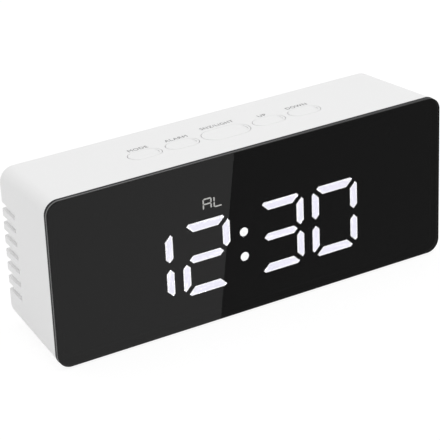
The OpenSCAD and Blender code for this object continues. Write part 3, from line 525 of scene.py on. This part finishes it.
# Drawn, plated or pressed metal: faint lines along the length, and patches of haze
tree, given, out = new_group(
    "drawn_metal",
    "ShaderNodeTree",
    [
        ("Color", "Color", (0.7, 0.7, 0.7, 1)),
        ("Float", "Roughness", 0.25),
        ("Vector", "Line Scale", (2000, 200, 2000)),
    ],
    [("Color", "Color"), ("Float", "Roughness"), ("Float", "Height")],
)
drawn_metal = tree
place = object_place(tree)
stretched = add_node(tree, "ShaderNodeVectorMath", {0: place, 1: given["Line Scale"]}, operation="MULTIPLY")
haze = noise(tree, place, scale=300, detail=3)
haze_change = 0.16
least_tone = 0.92
haze_dullness = 0.12
hazed = shaded(tree, given["Color"], math_node(tree, "MULTIPLY_ADD", haze, haze_change, least_tone))
dullness = math_node(tree, "MULTIPLY_ADD", haze, haze_dullness, given["Roughness"])
tree.links.new(hazed, out["Color"])
tree.links.new(dullness, out["Roughness"])
tree.links.new(noise(tree, stretched.outputs[0], scale=1), out["Height"])


def metal(name, colour, roughness, line_scale=(2000, 200, 2000)):
    line_depth = 0.0000015
    material = surface_material(
        name, drawn_metal, line_depth, color=colour, roughness=roughness, line_scale=line_scale
    )
    material.node_tree.nodes["Principled BSDF"].inputs["Metallic"].default_value = 1
    return material


dress("crystal", metal("crystal_can", (0.66, 0.66, 0.65), 0.28))
rearwards = (0, 1, 0)
can_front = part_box("capacitors")[0][1]
sleeve_length = 0.0076
sleeve = ((0.03, 0.04, 0.08), 0.0, 0.35)
aluminium = ((0.80, 0.80, 0.81), 1.0, 0.35)
dress("capacitors", two_part("sleeved_can", rearwards, can_front, sleeve_length, sleeve, aluminium))
dress("buzzer", black_nylon)
bead_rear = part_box("thermistor")[1][1]
bead_length = 0.0027
green_dip = ((0.03, 0.13, 0.04), 0.0, 0.3)
dress("thermistor", two_part("dipped_bead", rearwards, bead_rear, bead_length, green_dip, tinned))
dress("segment_leds", moulded("lamp_phosphor", (0.80, 0.72, 0.38), 0.35, mottle=0.1))

# Light box and segments
# A black polystyrene box with a tapered chamber for every segment. A milky insert closes each
# chamber at the front: the lit ones glow faintly lavender, paler along the rim where the wall
# of the chamber adds its light, and the thin alarm letters are weaker and a little yellow.
dress("light_box", moulded("black_polystyrene", (0.012, 0.012, 0.012), 0.6, mottle=0.2))
dress("unlit_segments", moulded("unlit_insert", (0.05, 0.05, 0.052), 0.6))

panel_tint = 0.03


def glowing(name, dim, bright, strength):
    """An insert lit from behind, as strong as it is seen through the tinted panel."""
    material, tree, shader = new_material(name)
    glow = mix_node(tree, "RGBA", noise(tree, object_place(tree), scale=350), (*dim, 1), (*bright, 1))
    tree.links.new(glow, shader["Emission Color"])
    tree.links.new(glow, shader["Base Color"])
    shader["Emission Strength"].default_value = strength / panel_tint
    material.cycles.emission_sampling = "NONE"
    return material


milky = moulded("milky_polystyrene", (0.75, 0.75, 0.77), 0.4)
lit_core = glowing("lit_core", (0.85, 0.835, 0.965), (0.905, 0.89, 0.995), 0.985)
lit_rim = glowing("lit_rim", (0.97, 0.97, 0.99), (1.0, 1.0, 1.0), 1.05)


def lit_insert(node, name, wall_band, rim_band, core):
    """The node's inserts in milky plastic: dark at the wall, then a pale rim, then the core."""
    wall_part, core_part, rim_part = range(3)
    front_within = 0.00001
    facing_front = -0.99
    shape = bmesh.new()
    shape.from_mesh(merged_mesh(node, name + "_blank"))
    shape.normal_update()
    front_y = min(point.co.y for point in shape.verts)
    fronts = []
    for face in shape.faces:
        face.smooth = False
        if face.normal.y < facing_front and face.calc_center_median().y < front_y + front_within:
            face.material_index = core_part
            fronts.append(face)
    for part, band in ((wall_part, wall_band), (rim_part, rim_band)):
        ring = bmesh.ops.inset_individual(shape, faces=fronts, thickness=band, use_even_offset=True)
        for face in ring["faces"]:
            face.material_index = part
    mesh = mesh_of(shape, name)
    for material in (milky, core, lit_rim):
        mesh.materials.append(material)
    return mounted(link(name, mesh), "clock", "lit_segment", node)


lit_insert("lit_segments", "lit_inserts", wall_band=0.00024, rim_band=0.00024, core=lit_core)
lit_dot = glowing("lit_dot", (0.94, 0.94, 0.95), (0.97, 0.97, 0.97), 1.04)
lit_insert("colon_dots", "lit_dots", wall_band=0.00018, rim_band=0.0003, core=lit_dot)
dress("alarm_indicator", glowing("alarm_insert", (0.61, 0.61, 0.58), (0.71, 0.71, 0.68), 0.68))

# Screws
# Four pan-head steel screws with a cross recess hold the light box and the board to the bosses
# of the housing, and two smaller ones hold the power board. Each is headed, thread-rolled and
# zinc-plated.
tree, given, out = new_group(
    "pan_screws",
    "GeometryNodeTree",
    [
        ("Geometry", "Places", None),
        ("Float", "Head Width", 0.004),
        ("Float", "Head Height", 0.0015),
        ("Float", "Shank Width", 0.0019),
        ("Float", "Shank Length", 0.009),
        ("Float", "Thread Pitch", 0.0008),
        ("Material", "Steel", None),
    ],
    [("Geometry", "Screws")],
)
pan_screws = tree


def share(tree, value, part):
    return math_node(tree, "MULTIPLY", value, part)


def raised(tree, geometry, z):
    return add_node(
        tree, "GeometryNodeTransform", {"Geometry": geometry, "Translation": vector(tree, z=z)}
    ).outputs["Geometry"]


# Every part of a screw is a share of the head's or the shank's own size
head_height = given["Head Height"]
head_radius = share(tree, given["Head Width"], 0.5)
shank_radius = share(tree, given["Shank Width"], 0.5)
shank_length = given["Shank Length"]
rim = add_node(tree, "GeometryNodeMeshCylinder", {
    "Vertices": 32, "Radius": head_radius, "Depth": share(tree, head_height, 0.5),
}).outputs["Mesh"]
crown = add_node(tree, "GeometryNodeMeshCone", {
    "Vertices": 32, "Radius Top": head_radius, "Radius Bottom": share(tree, head_radius, 0.74),
    "Depth": share(tree, head_height, 0.55),
}).outputs["Mesh"]
core = add_node(tree, "GeometryNodeMeshCylinder", {
    "Vertices": 24, "Radius": share(tree, shank_radius, 0.84), "Depth": shank_length,
}).outputs["Mesh"]
blank = boolean(tree, "UNION", None, [
    raised(tree, rim, share(tree, head_height, -0.25)),
    raised(tree, crown, share(tree, head_height, -1.0)),
    raised(tree, core, share(tree, shank_length, 0.48)),
])
recess_length = share(tree, head_radius, 1.1)
recess_width = share(tree, head_radius, 0.26)
recess_depth = share(tree, head_height, 1.1)
recess = []
for x, y in ((recess_length, recess_width), (recess_width, recess_length)):
    arm = add_node(tree, "GeometryNodeMeshCube", {"Size": vector(tree, x, y, recess_depth)}).outputs["Mesh"]
    recess.append(raised(tree, arm, share(tree, head_height, -1.0)))
blank = boolean(tree, "DIFFERENCE", blank, recess)
thread_length = share(tree, shank_length, 0.9)
thread_radius = share(tree, shank_radius, 0.86)
helix = add_node(tree, "GeometryNodeCurveSpiral", {
    "Resolution": 20, "Rotations": math_node(tree, "DIVIDE", thread_length, given["Thread Pitch"]),
    "Start Radius": thread_radius, "End Radius": thread_radius, "Height": thread_length,
}).outputs["Curve"]
ridge = add_node(tree, "GeometryNodeCurvePrimitiveCircle", {
    "Resolution": 5, "Radius": share(tree, shank_radius, 0.14),
}).outputs["Curve"]
thread = add_node(tree, "GeometryNodeCurveToMesh", {
    "Curve": helix, "Profile Curve": ridge, "Fill Caps": True,
}).outputs["Mesh"]
screw = add_node(tree, "GeometryNodeJoinGeometry")
for part in (blank, raised(tree, thread, share(tree, shank_length, 0.05))):
    tree.links.new(part, screw.inputs["Geometry"])
facing_rear = (-math.pi / 2, 0, 0)
screws = copies_at(tree, given["Places"], screw.outputs["Geometry"], facing_rear)
ended(tree, screws, given["Steel"], out["Screws"])


def starts(name, points):
    """A piece of bare points, on which a node tree grows the real thing."""
    mesh = bpy.data.meshes.new(name)
    mesh.from_pydata(points, [], [])
    return link(name, mesh)


steel = metal("zinc_plated_steel", (0.60, 0.61, 0.62), 0.32)
for node, name, head_width, head_height, shank_width, thread_pitch in (
    ("board_screws", "box_screws", 0.0042, 0.0015, 0.0019, 0.0008),
    ("power_screws", "inlet_screws", 0.0026, 0.0010, 0.0015, 0.0006),
):
    low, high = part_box(node)
    reach = head_width / 2
    seat_y = low[1] + head_height
    columns = (low[0] + reach, high[0] - reach)
    rows = (low[2] + reach, high[2] - reach)
    # The two small screws stand one above the other, so their two columns are one
    places = sorted({(round(x, 6), seat_y, z) for x in columns for z in rows})
    screws = grown(
        starts(name, places), pan_screws, head_width=head_width, head_height=head_height,
        shank_width=shank_width, shank_length=high[1] - seat_y, thread_pitch=thread_pitch, steel=steel,
    )
    mounted(screws, "clock", "bright_metal", node)

# Mirror panel
# A slab of smoked acrylic, black until a segment lights up behind it. It lies on a ring of foam
# tape in the rim of the housing. Its front face and rim are polished, its sawn side is satin,
# and a thin grey band round the side is a painted highlight, painted paler at the left.
dress("panel_tape", moulded("foam_tape", (0.02, 0.02, 0.02), 0.9, mottle=0.2, relief=0.00004))


def rounded_outline(width, height, radius, middle_z, steps=20):
    """The (x, z) points of an upright rectangle with rounded corners, each made in steps."""
    points = []
    for corner in range(4):
        side = 1 if corner in (0, 3) else -1
        rise = 1 if corner < 2 else -1
        for step in range(steps + 1):
            angle = math.radians(90 * corner + 90 * step / steps)
            points.append((
                side * (width / 2 - radius) + radius * math.cos(angle),
                middle_z + rise * (height / 2 - radius) + radius * math.sin(angle),
            ))
    return points


def closed_mesh(name, shape, sharp, materials):
    """A mesh of the shape with outward faces, smooth but for edges over sharp degrees."""
    bmesh.ops.recalc_face_normals(shape, faces=shape.faces)
    shape.normal_update()
    for face in shape.faces:
        face.smooth = True
    for edge in shape.edges:
        edge.smooth = edge.calc_face_angle(0) < math.radians(sharp)
    mesh = mesh_of(shape, name)
    for material in materials:
        mesh.materials.append(material)
    return mesh


def slab(name, rings, materials):
    """A solid through rings of (y, outline, finish of the side before it), closed by flat ends."""
    shape = bmesh.new()
    loops = [[shape.verts.new((x, y, z)) for x, z in outline] for y, outline, part in rings]
    count = len(loops[0])
    for near, far, (y, outline, part) in zip(loops, loops[1:], rings[1:]):
        for here in range(count):
            beyond = (here + 1) % count
            face = shape.faces.new((near[here], near[beyond], far[beyond], far[here]))
            face.material_index = part
    for loop in (loops[0], loops[-1]):
        shape.faces.new(loop)
    piece = link(name, closed_mesh(name, shape, sharp=30, materials=materials))
    weighting = piece.modifiers.new("weighting", "WEIGHTED_NORMAL")
    weighting.keep_sharp = True
    return baked(piece)


smoked, tree, shader = new_material("smoked_acrylic")
smoke = add_node(tree, "ShaderNodeMapRange", {
    "Value": noise(tree, object_place(tree), scale=18),
    "To Min": panel_tint * 0.98, "To Max": panel_tint * 1.02,
}).outputs["Result"]
tree.links.new(smoke, shader["Base Color"])
shader["Roughness"].default_value = 0
shader["IOR"].default_value = 1.49
shader["Transmission Weight"].default_value = 1
shader["Specular Tint"].default_value = (0.527, 0.527, 0.527, 1)

panel_low, panel_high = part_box("mirror_panel")
panel_width = panel_high[0] - panel_low[0]
panel_height = panel_high[2] - panel_low[2]
panel_mid_z = (panel_low[2] + panel_high[2]) / 2
corner_radius = 0.0044
chamfer = 0.0001
rim_depth = 0.0003
# Between these two depths from the front, a band round the side carries a painted highlight
highlight_band_front = 0.0006
highlight_band_rear = 0.00085
seat_gap = 0.00004
whole = rounded_outline(panel_width, panel_height, corner_radius, panel_mid_z)
front = rounded_outline(
    panel_width - 2 * chamfer, panel_height - 2 * chamfer, corner_radius - chamfer, panel_mid_z
)

# The painted highlight round the side is painted paler at the left than at the right, as if lit from the
# left
film_line = moulded("film_line", (0.19, 0.19, 0.19), 0.5, mottle=0.1, grains=6000, gloss=0.1)
tree = film_line.node_tree
highlight_band_grey = tree.nodes["Principled BSDF"].inputs["Base Color"]
painted_light_from_left = add_node(tree, "ShaderNodeMapRange", {
    "Value": add_node(tree, "ShaderNodeSeparateXYZ", {"Vector": object_place(tree)}).outputs["X"],
    "From Min": panel_low[0], "From Max": panel_high[0], "To Min": 1.6, "To Max": 0.2,
}).outputs["Result"]
tree.links.new(shaded(tree, highlight_band_grey.links[0].from_socket, painted_light_from_left), highlight_band_grey)

face_part, side_part, rim_part, highlight_band_part = range(4)
panel = slab(
    "smoked_panel",
    [
        (panel_high[1] - seat_gap, whole, face_part),
        (panel_low[1] + highlight_band_rear, whole, side_part),
        # the band of the painted highlight
        (panel_low[1] + highlight_band_front, whole, highlight_band_part),
        (panel_low[1] + rim_depth, whole, side_part),
        (panel_low[1] + chamfer, whole, rim_part),
        (panel_low[1], front, rim_part),
    ],
    [
        smoked,
        moulded("sawn_side", (0.014, 0.014, 0.015), 0.5, mottle=0.15, grains=6000, gloss=0.15),
        moulded("polished_rim", (0.004, 0.004, 0.004), 0.3, gloss=0.1),
        film_line,
    ],
)
mounted(panel, "clock", "mirror_panel", "mirror_panel")

# Battery contacts
# Strips of nickel-plated spring steel in slots at both ends of the battery bay, with a dimple
# for a battery's tip and a bent tongue for its flat end. One plate is plain brass. Two leads in
# red PVC join them to the main board.
nickel = metal("nickel_plate", (0.70, 0.69, 0.66), 0.22, (2500, 2500, 250))
brass = metal("plain_brass", (0.72, 0.52, 0.20), 0.28, (2500, 2500, 250))
contact_edge = 0.00006
for node, name, plating, slot in (
    ("left_link", "left_plate", nickel, "bright_metal"),
    ("right_link", "right_plate", nickel, "bright_metal"),
    ("negative_contact", "negative_plate", nickel, "bright_metal"),
    ("positive_contact", "positive_plate", brass, "brass_contact"),
):
    finished(node, name, contact_edge, plating, "clock", slot)
red_pvc = moulded("red_pvc", (0.45, 0.02, 0.02), 0.4, mottle=0.08)
dress("battery_leads", red_pvc)

# Power inlet
# A drawn steel shell with a black tongue on a small board of its own, screwed to the rear wall.
# Thin gold-plated strips lie on both faces of the tongue.
dress("power_board", solder_mask)
dress("inlet_leads", red_pvc)
shell_edge = 0.00008
finished("inlet_shell", "drawn_shell", shell_edge, nickel, "clock", "bright_metal")
dress("inlet_tongue", black_nylon)

tree, given, out = new_group(
    "contact_strips",
    "GeometryNodeTree",
    [
        ("Geometry", "Starts", None),
        ("Int", "Count", 6),
        ("Float", "Pitch", 0.0005),
        ("Vector", "Strip Size", (0.00025, 0.0035, 0.00005)),
        ("Material", "Plating", None),
    ],
    [("Geometry", "Strips")],
)
row = add_node(tree, "GeometryNodeMeshLine", {
    "Count": given["Count"], "Offset": vector(tree, given["Pitch"]),
}).outputs["Mesh"]
strip = add_node(tree, "GeometryNodeMeshCube", {"Size": given["Strip Size"]}).outputs["Mesh"]
rows = copies_at(tree, given["Starts"], copies_at(tree, row, strip))
ended(tree, rows, given["Plating"], out["Strips"])
tongue_low, tongue_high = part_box("inlet_tongue")
tongue_mid_x = (tongue_low[0] + tongue_high[0]) / 2
tongue_mid_z = (tongue_low[2] + tongue_high[2]) / 2
tongue_thickness = 0.0006
strip_count = 6
strip_pitch = 0.00055
strip_length = 0.0036
strip_width = 0.00028
strip_thickness = 0.00005
tip_margin = 0.0003
strip_y = tongue_high[1] - strip_length / 2 - tip_margin
first_strips = [
    (tongue_mid_x - strip_pitch * (strip_count - 1) / 2, strip_y, tongue_mid_z + side * tongue_thickness / 2)
    for side in (-1, 1)
]
strips = grown(
    starts("inlet_strips", first_strips), tree, count=strip_count, pitch=strip_pitch,
    strip_size=(strip_width, strip_length, strip_thickness),
    plating=metal("gold_plating", (0.85, 0.62, 0.25), 0.2),
)
mounted(strips, "clock", "brass_contact")

# Batteries
# Three steel cells, laid in turns: a plastic sleeve shrunk over each can, a copper band at the
# positive end, a bright cap with its tip, and a flat bright base.
cell_finishes = (
    metal("cell_steel", (0.74, 0.74, 0.73), 0.25, (900, 900, 900)),
    moulded("gasket", (0.65, 0.65, 0.63), 0.6),
    moulded("graphite_sleeve", (0.022, 0.026, 0.034), 0.22, mottle=0.1, grains=900, relief=0.000004),
    moulded("copper_sleeve", (0.42, 0.17, 0.06), 0.25, mottle=0.1, grains=900, relief=0.000004),
)
steel_part, gasket_part, sleeve_part, band_part = range(4)
# Radius, distance from the tip, and the finish up to there
cell_profile = (
    (0, 0, steel_part), (0.00155, 0, steel_part), (0.0018, 0.00008, steel_part),
    (0.0019, 0.0003, steel_part), (0.0019, 0.00085, steel_part), (0.0021, 0.001, steel_part),
    (0.0034, 0.00102, steel_part), (0.0036, 0.00115, steel_part), (0.0043, 0.00115, gasket_part),
    (0.0044, 0.00102, sleeve_part), (0.00475, 0.001, sleeve_part), (0.00505, 0.00112, sleeve_part),
    (0.00522, 0.00145, sleeve_part), (0.00525, 0.0018, sleeve_part), (0.00525, 0.0095, band_part),
    (0.00525, 0.0438, sleeve_part), (0.0052, 0.04415, sleeve_part), (0.005, 0.04442, sleeve_part),
    (0.0047, 0.0445, sleeve_part), (0.00445, 0.04442, sleeve_part), (0.0044, 0.0442, sleeve_part),
    (0.0029, 0.0442, steel_part), (0.0027, 0.0444, steel_part), (0, 0.0444, steel_part),
)


def turned(name, profile, tip, direction, materials, sides=56):
    """A solid turned about a line along X through the tip; direction is 1 or -1."""
    shape = bmesh.new()
    rings = []
    for radius, distance, part in profile:
        angles = [2 * math.pi * side / sides for side in range(sides if radius else 1)]
        rings.append([
            shape.verts.new((
                tip[0] + direction * distance,
                tip[1] + radius * math.cos(angle),
                tip[2] + radius * math.sin(angle),
            ))
            for angle in angles
        ])
    for near, far, (radius, distance, part) in zip(rings, rings[1:], profile[1:]):
        for here in range(sides):
            beyond = (here + 1) % sides
            corners = (
                near[here % len(near)], near[beyond % len(near)],
                far[beyond % len(far)], far[here % len(far)],
            )
            # At a pole two corners are the same point
            face = shape.faces.new(list(dict.fromkeys(corners)))
            face.material_index = part
    return link(name, closed_mesh(name, shape, sharp=50, materials=materials))


for cell in ("upper", "middle", "lower"):
    low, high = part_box("battery_" + cell)
    direction = 1 if cell == "middle" else -1
    tip = (low[0] if direction > 0 else high[0], (low[1] + high[1]) / 2, (low[2] + high[2]) / 2)
    battery = turned("cell_" + cell, cell_profile, tip, direction, cell_finishes)
    mounted(battery, "clock", "cell", "battery_" + cell)

# Battery door
# A white ABS cover in the rear wall. It tilts out on its rounded lower edge, whose corners are
# cut wider to clear the housing, and clicks in at the top. Five ribs in the scoop give grip.
door_low, door_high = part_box("battery_door")
door_edge = 0.00015
tab_reach = 0.0016
lower_edge = door_low[2] + tab_reach
edge_within = 0.00001
lower_corner_radius = 0.0019
mesh = merged_mesh("battery_door", "battery_cover")
for point in mesh.vertices:
    below_arc = lower_corner_radius - (point.co.z - lower_edge)
    if 0 < below_arc < lower_corner_radius + edge_within:
        inset = lower_corner_radius - math.sqrt(max(0, lower_corner_radius ** 2 - below_arc ** 2))
        point.co.x = math.copysign(min(abs(point.co.x), door_high[0] - inset), point.co.x)
mesh.materials.append(white_abs)
mounted(rounded(link("battery_cover", mesh), door_edge), "door", "housing", "battery_door")

tree, given, out = new_group(
    "scoop_ribs",
    "GeometryNodeTree",
    [
        ("Geometry", "Scoop Middle", None),
        ("Int", "Count", 5),
        ("Float", "Pitch", 0.0016),
        ("Float", "Bowl Radius", 0.0255),
        ("Vector", "Rib Size", (0.003, 0.0004, 0.0003)),
        ("Material", "Plastic", None),
    ],
    [("Geometry", "Ribs")],
)
span = math_node(tree, "MULTIPLY", math_node(tree, "SUBTRACT", given["Count"], 1), given["Pitch"])
line = add_node(tree, "GeometryNodeMeshLine", {
    "Count": given["Count"],
    "Start Location": vector(tree, z=share(tree, span, -0.5)),
    "Offset": vector(tree, z=given["Pitch"]),
}).outputs["Mesh"]
height = add_node(tree, "ShaderNodeSeparateXYZ", {
    "Vector": add_node(tree, "GeometryNodeInputPosition").outputs["Position"],
}).outputs["Z"]
bowl_rise = math_node(tree, "DIVIDE", math_node(tree, "MULTIPLY", height, height), given["Bowl Radius"])
line = add_node(tree, "GeometryNodeSetPosition", {
    "Geometry": line, "Offset": vector(tree, y=share(tree, bowl_rise, 0.5)),
}).outputs["Geometry"]
ball = add_node(tree, "GeometryNodeMeshUVSphere", {"Segments": 20, "Rings": 12, "Radius": 1.0})
rib = add_node(tree, "GeometryNodeTransform", {
    "Geometry": ball.outputs["Mesh"], "Scale": given["Rib Size"],
}).outputs["Geometry"]
rib = add_node(tree, "GeometryNodeSetShadeSmooth", {
    "Geometry": rib, "Shade Smooth": True,
}).outputs["Geometry"]
ribs = copies_at(tree, line, rib)
ended(tree, copies_at(tree, given["Scoop Middle"], ribs), given["Plastic"], out["Ribs"])
scoop_depth = 0.0006
scoop_below_top = 0.011
scoop_middle = (0, door_high[1] - scoop_depth, door_high[2] - scoop_below_top)
scoop_ribs = grown(
    starts("scoop_ribs", [scoop_middle]), tree, count=5, pitch=0.0016, bowl_radius=0.0255,
    rib_size=(0.003, 0.0004, 0.0003), plastic=white_abs,
)
mounted(scoop_ribs, "door", "housing")

# Feet
# Four round rubber feet, glued in recesses of the base. The rear two are taller, because the
# base rises towards the rear.
foot_rubber = moulded("foot_rubber", (0.04, 0.04, 0.042), 0.75, mottle=0.1, relief=0.00003)
foot_edge = 0.00025
for foot in ("foot_front_left", "foot_front_right", "foot_rear_left", "foot_rear_right"):
    finished(foot, "rubber_" + foot, foot_edge, foot_rubber, "clock", "foot")

# Floor and light
# A wide floor of white paper in an evenly lit white room, with one large soft lamp above the
# right front. A grey card by the clock, seen in reflections only, darkens the panel's right part.
floor_reach = 4
floor_corners = [
    (-floor_reach, -floor_reach, 0), (floor_reach, -floor_reach, 0),
    (floor_reach, floor_reach, 0), (-floor_reach, floor_reach, 0),
]
floor_mesh = bpy.data.meshes.new("floor")
floor_mesh.from_pydata(floor_corners, [], [(0, 1, 2, 3)])
link("floor", floor_mesh)


def seen_directly(tree, level):
    """level for rays of the camera, of gloss and of glass, and 0 for rays that light things."""
    path = add_node(tree, "ShaderNodeLightPath").outputs
    gloss = math_node(tree, "MAXIMUM", path["Is Camera Ray"], path["Is Glossy Ray"])
    return math_node(tree, "MULTIPLY", math_node(tree, "MAXIMUM", gloss, path["Is Transmission Ray"]), level)


paper_glow = 1.07
paper_glow_share = 0.82
paper, tree, shader = new_material("white_paper")
shader["Base Color"].default_value = (0.9, 0.9, 0.9, 1)
shader["Roughness"].default_value = 1
shader["Specular IOR Level"].default_value = 0
glow = add_node(tree, "ShaderNodeEmission", {"Strength": paper_glow})
paper_mix = add_node(tree, "ShaderNodeMixShader", {"Fac": seen_directly(tree, paper_glow_share)})
tree.links.new(tree.nodes["Principled BSDF"].outputs["BSDF"], paper_mix.inputs[1])
tree.links.new(glow.outputs["Emission"], paper_mix.inputs[2])
tree.links.new(paper_mix.outputs["Shader"], tree.nodes["Material Output"].inputs["Surface"])
floor_mesh.materials.append(paper)

card_left = -0.0132
card_right = 0.6
card_rear = -0.0192
card_front = -0.9532
card_z = 0.0001
card_corners = [
    (card_left, card_rear, card_z), (card_right, card_rear, card_z), (card_right, card_front, card_z),
]
card_mesh = bpy.data.meshes.new("grey_card")
card_mesh.from_pydata(card_corners, [], [(2, 1, 0)])
card = link("grey_card", card_mesh)
card.visible_camera = False
card.visible_diffuse = False
card.visible_transmission = False
card.visible_shadow = False
card_grey, tree, shader = new_material("card_grey")
shader["Base Color"].default_value = (0, 0, 0, 1)
shader["Specular IOR Level"].default_value = 0
shader["Emission Color"].default_value = (1, 1, 1, 1)
shader["Emission Strength"].default_value = 0.345
card_mesh.materials.append(card_grey)

room_level = 0.82
world = bpy.data.worlds.new("white_room")
world.use_nodes = True
bpy.context.scene.world = world
tree = world.node_tree
brightness = math_node(tree, "ADD", seen_directly(tree, 1 - room_level), room_level)
tree.nodes["Background"].inputs["Color"].default_value = (1, 1, 1, 1)
tree.links.new(brightness, tree.nodes["Background"].inputs["Strength"])

lamp = bpy.data.objects.new("soft_lamp", bpy.data.lights.new("soft_lamp", "AREA"))
lamp.data.shape = "DISK"
lamp.data.size = 1.2
lamp.data.energy = 4.2
lamp.location = (0.3, -0.35, 1.3)
lamp.rotation_euler = (-lamp.location).to_track_quat("-Z", "Y").to_euler()
bpy.context.scene.collection.objects.link(lamp)

bpy.context.scene.view_settings.view_transform = "Standard"
